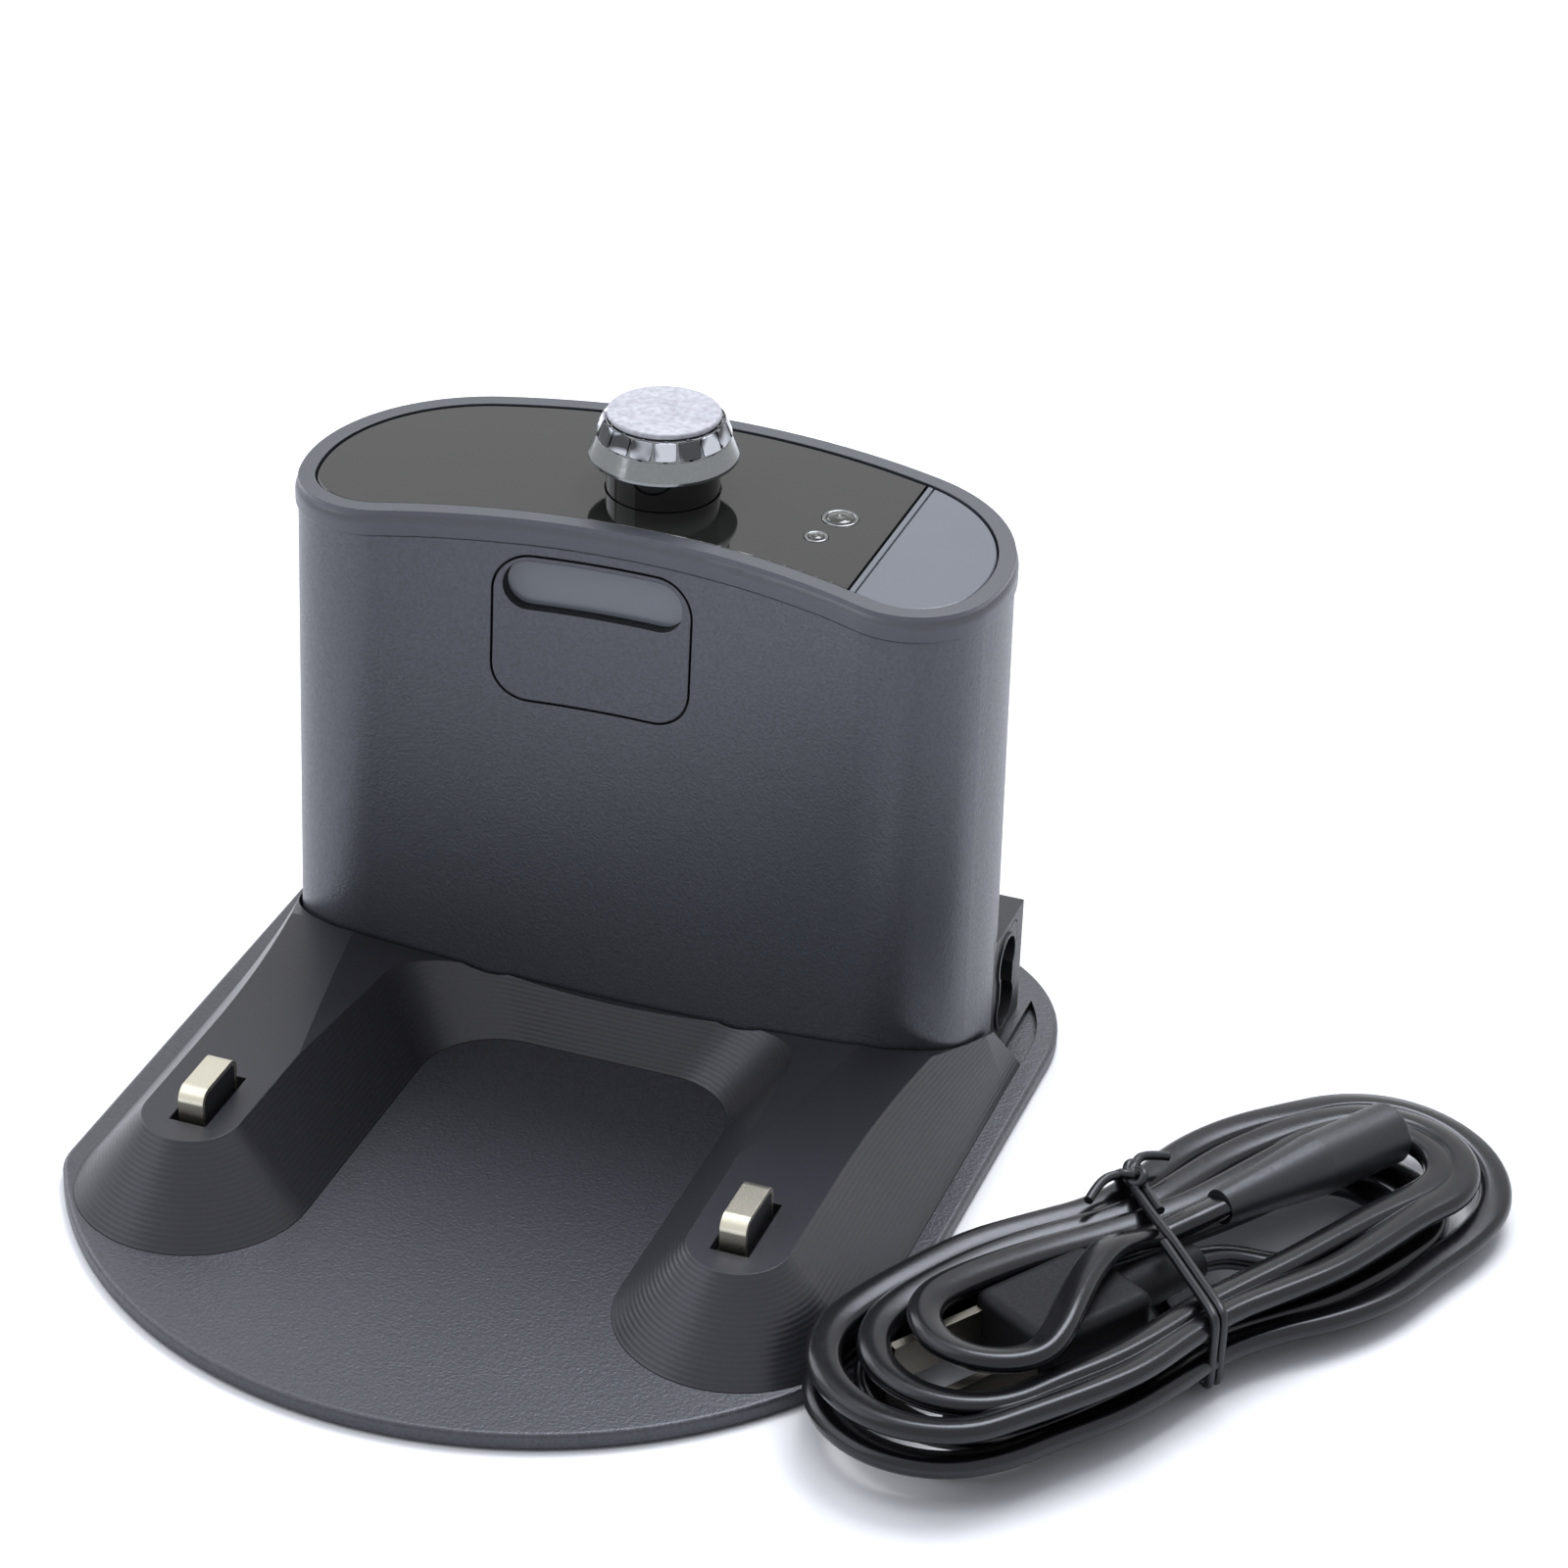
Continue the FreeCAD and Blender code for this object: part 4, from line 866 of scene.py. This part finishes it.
@dataclass
class Tower:
    """Finishes of the tower's rim and inlet housing, and painted shade in its recesses and plaque edges, in
    mm.
    """

    finisher: Finisher
    rim_height: float = 4.5
    gap: float = 0.5
    corner: float = 6.5
    pocket_depth: float = 2.0
    front_normal: float = 0.7
    housing_margin: float = 3.3

    def build(self) -> None:
        """Finish the rim and housing, and paint shade in the recesses and on the plaque's edges."""
        shell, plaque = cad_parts["tower_shell"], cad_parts["front_plaque"]
        shell.data.materials.append(self.finisher.get("recess"))
        shell.data.materials.append(self.finisher.get("rim"))
        shell.data.materials.append(self.finisher.get("socket"))
        plaque.data.materials.append(self.finisher.get("recess"))
        rim_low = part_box("tower_shell")[1][2] - self.rim_height * MM
        pocket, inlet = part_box("front_plaque"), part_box("inlet_socket")
        for face in shell.data.polygons:
            # Painted shade: near-black on the pocket's floor and walls, seen in the groove and the window's
            # tunnel
            if self.in_recess(face.center, pocket):
                face.material_index = 1
            elif face.center.z > rim_low:
                face.material_index = 2
            elif self.in_housing(face.center, inlet):
                face.material_index = 3
        for face in plaque.data.polygons:
            # Painted shade: the plaque's side walls are near-black, for the shade in the groove about it
            if abs(face.normal.y) < self.front_normal:
                face.material_index = 1

    def in_housing(self, place: Vector, inlet: Tuple[Sequence[float], Sequence[float]]) -> bool:
        """Tell whether a point of the shell lies on the block about the mains inlet.

        Args:
            place: the point, in metres.
            inlet: lowest and highest corner of the inlet's socket.

        Returns:
            True on the block's faces and in its bore.
        """
        low, high = inlet
        grow = self.housing_margin * MM
        return (place.x > low[0] - grow and low[1] - grow < place.y < high[1] + grow
                and place.z < high[2] + grow)

    def in_recess(self, place: Vector, pocket: Tuple[Sequence[float], Sequence[float]]) -> bool:
        """Tell whether a point of the shell lies in the plaque's rounded pocket.

        Args:
            place: the point, in metres.
            pocket: lowest and highest corner of the plaque.

        Returns:
            True inside the plaque's outline grown by its gap.
        """
        low, high = pocket
        past = []
        for axis in (0, 2):
            half = (high[axis] - low[axis]) / 2 / MM + self.gap - self.corner
            away = abs(place[axis] - (low[axis] + high[axis]) / 2) / MM
            past.append(max(away - half, 0.0))
        return place.y < high[1] + self.pocket_depth * MM and math.hypot(*past) < self.corner


@dataclass
class Contacts:
    """Springs under the two contact strips, which shorten as the strips are pressed; their travel is in
    millimetres.
    """

    travel: float = 3.0

    def build(self) -> None:
        """Give each spring its own copy of its mesh."""
        for body in (Body.LEFT, Body.RIGHT):
            name = "contact_spring_" + body.value.split("_")[0]
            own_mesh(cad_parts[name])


@dataclass
class Studio:
    """Pale floor, soft light and the camera at the photograph's angle."""

    camera_place: Point = (0.23388, -0.57360, 0.42767)
    azimuth: float = 0.33076
    elevation: float = 0.52768
    roll: float = -0.0354
    lens_mm: float = 107.74
    sensor_mm: float = 36.0
    aim: Point = (0.02, 0.02, 0.04)
    lamps: Tuple[Tuple[str, Point, float, float], ...] = (
        ("key", (-1.0, -0.5, 1.0), 1.2, 6.0),
        ("overhead", (-0.1, 0.2, 1.3), 1.0, 4.0),
        ("back", (0.15, 0.75, 1.35), 0.75, 17.0),
        ("left", (-1.1, 0.5, 0.6), 0.8, 5.0))
    bright_way: Point = (-0.5, 0.85, 0.0)
    floor_half: float = 6.0
    floor_near: float = 0.35
    floor_far: float = 0.9

    def build(self) -> None:
        """Add the floor, the lamps, the world and the camera."""
        self.add_floor()
        self.add_world()
        for name, place, size, power in self.lamps:
            self.add_lamp(name, place, size, power)
        self.add_camera()

    def add_floor(self) -> None:
        """Make the pale floor, which shows white to the camera and keeps the shadow."""
        h = self.floor_half
        mesh = bpy.data.meshes.new("floor")
        mesh.from_pydata([(-h, -h, 0), (h, -h, 0), (h, h, 0), (-h, h, 0)], [], [(0, 1, 2, 3)])
        floor = link(bpy.data.objects.new("floor", mesh))
        material, tree, shader = new_material("Paper sweep, matt white")
        shader.inputs["Base Color"].default_value = linear("#f4f4f4")
        shader.inputs["Roughness"].default_value = 0.9
        shader.inputs["Specular IOR Level"].default_value = 0.1
        # Away from the dock the sweep goes over into the white backdrop
        away = add(tree, "ShaderNodeVectorMath", {"operation": "LENGTH"},
                   {0: add(tree, "ShaderNodeTexCoord").outputs["Object"]})
        fade = add(tree, "ShaderNodeMapRange", {1: self.floor_near, 2: self.floor_far},
                   {0: away.outputs["Value"]})
        share = add(tree, "ShaderNodeMath", {"operation": "MULTIPLY"},
                    {0: fade.outputs[0], 1: self.backdrop_rays(tree)})
        white = add(tree, "ShaderNodeEmission", {"Color": linear("#ffffff"), "Strength": 1.0})
        mix = add(tree, "ShaderNodeMixShader",
                  links={0: share.outputs[0], 1: shader.outputs[0], 2: white.outputs[0]})
        tree.links.new(mix.outputs[0], tree.nodes["Material Output"].inputs["Surface"])
        mesh.materials.append(material)

    def backdrop_rays(self, tree: bpy.types.NodeTree) -> Socket:
        """Pick the rays that show the backdrop: the camera's, those off gloss and those through glass.

        Args:
            tree: node tree of the floor or the world.

        Returns:
            A socket that is one for those rays.
        """
        path = add(tree, "ShaderNodeLightPath").outputs
        seen = add(tree, "ShaderNodeMath", {"operation": "MAXIMUM"},
                   {0: path["Is Camera Ray"], 1: path["Is Glossy Ray"]})
        return add(tree, "ShaderNodeMath", {"operation": "MAXIMUM"},
                   {0: seen.outputs[0], 1: path["Is Transmission Ray"]}).outputs[0]

    def add_world(self) -> None:
        """Light the scene evenly, with a white backdrop for the camera and for reflections."""
        world = bpy.data.worlds.new("studio")
        bpy.context.scene.world = world
        world.use_nodes = True
        tree = world.node_tree
        tree.nodes.clear()
        back = add(tree, "ShaderNodeBackground", {"Color": linear("#ffffff"), "Strength": 1.0})
        # Bright behind and to the left, dimmer on the camera's side and to the right
        way = add(tree, "ShaderNodeVectorMath", {"operation": "DOT_PRODUCT", 1: self.bright_way},
                  {0: add(tree, "ShaderNodeTexCoord").outputs["Object"]})
        level = add(tree, "ShaderNodeMapRange", {1: -0.7, 2: 0.3, 3: 0.28, 4: 1.0},
                    {0: way.outputs["Value"]})
        light = add(tree, "ShaderNodeBackground", {"Color": linear("#eaeefa")},
                    {"Strength": level.outputs[0]})
        mix = add(tree, "ShaderNodeMixShader", links={0: self.backdrop_rays(tree), 1: light.outputs[0],
                                                      2: back.outputs[0]})
        add(tree, "ShaderNodeOutputWorld", links={"Surface": mix.outputs[0]})

    def add_lamp(self, name: str, place: Point, size: float, power: float) -> None:
        """Add one square soft lamp that faces the dock.

        Args:
            name: lamp name.
            place: where it hangs, in metres.
            size: side of its square face.
            power: watts.
        """
        data = bpy.data.lights.new(name, "AREA")
        data.shape, data.size, data.energy = "SQUARE", size, power
        data.color = linear("#f8faff")[:3]
        lamp = link(bpy.data.objects.new(name, data))
        lamp.location = place
        lamp.rotation_euler = (Vector(self.aim) - Vector(place)).to_track_quat("-Z", "Y").to_euler()

    def add_camera(self) -> None:
        """Place the camera by the angles and the distance fitted to the photograph."""
        az, el, roll = self.azimuth, self.elevation, self.roll
        ahead = Vector((-math.sin(az) * math.cos(el), math.cos(az) * math.cos(el), -math.sin(el)))
        level = Vector((math.cos(az), math.sin(az), 0.0))
        down = ahead.cross(level)
        right = math.cos(roll) * level + math.sin(roll) * down
        low = -math.sin(roll) * level + math.cos(roll) * down
        data = bpy.data.cameras.new("photo camera")
        data.lens, data.sensor_width, data.sensor_fit = self.lens_mm, self.sensor_mm, "AUTO"
        data.clip_start, data.clip_end = 0.01, 50.0
        camera = link(bpy.data.objects.new("photo camera", data))
        turn = Matrix((right, -low, -ahead)).transposed()
        camera.matrix_world = Matrix.Translation(self.camera_place) @ turn.to_4x4()
        bpy.context.scene.camera = camera


def main() -> None:
    """Build the pieces in order and light them."""
    logging.basicConfig(level=logging.INFO, format="%(name)s: %(message)s")
    bpy.context.scene.view_settings.view_transform = "Standard"
    finisher = Finisher({})
    finisher.dress_nodes()
    Tower(finisher).build()
    Beacon(finisher).build()
    StatusLights(finisher).build()
    Contacts().build()
    Lead(finisher).build()
    Studio().build()


if __name__ == "__main__":
    main()
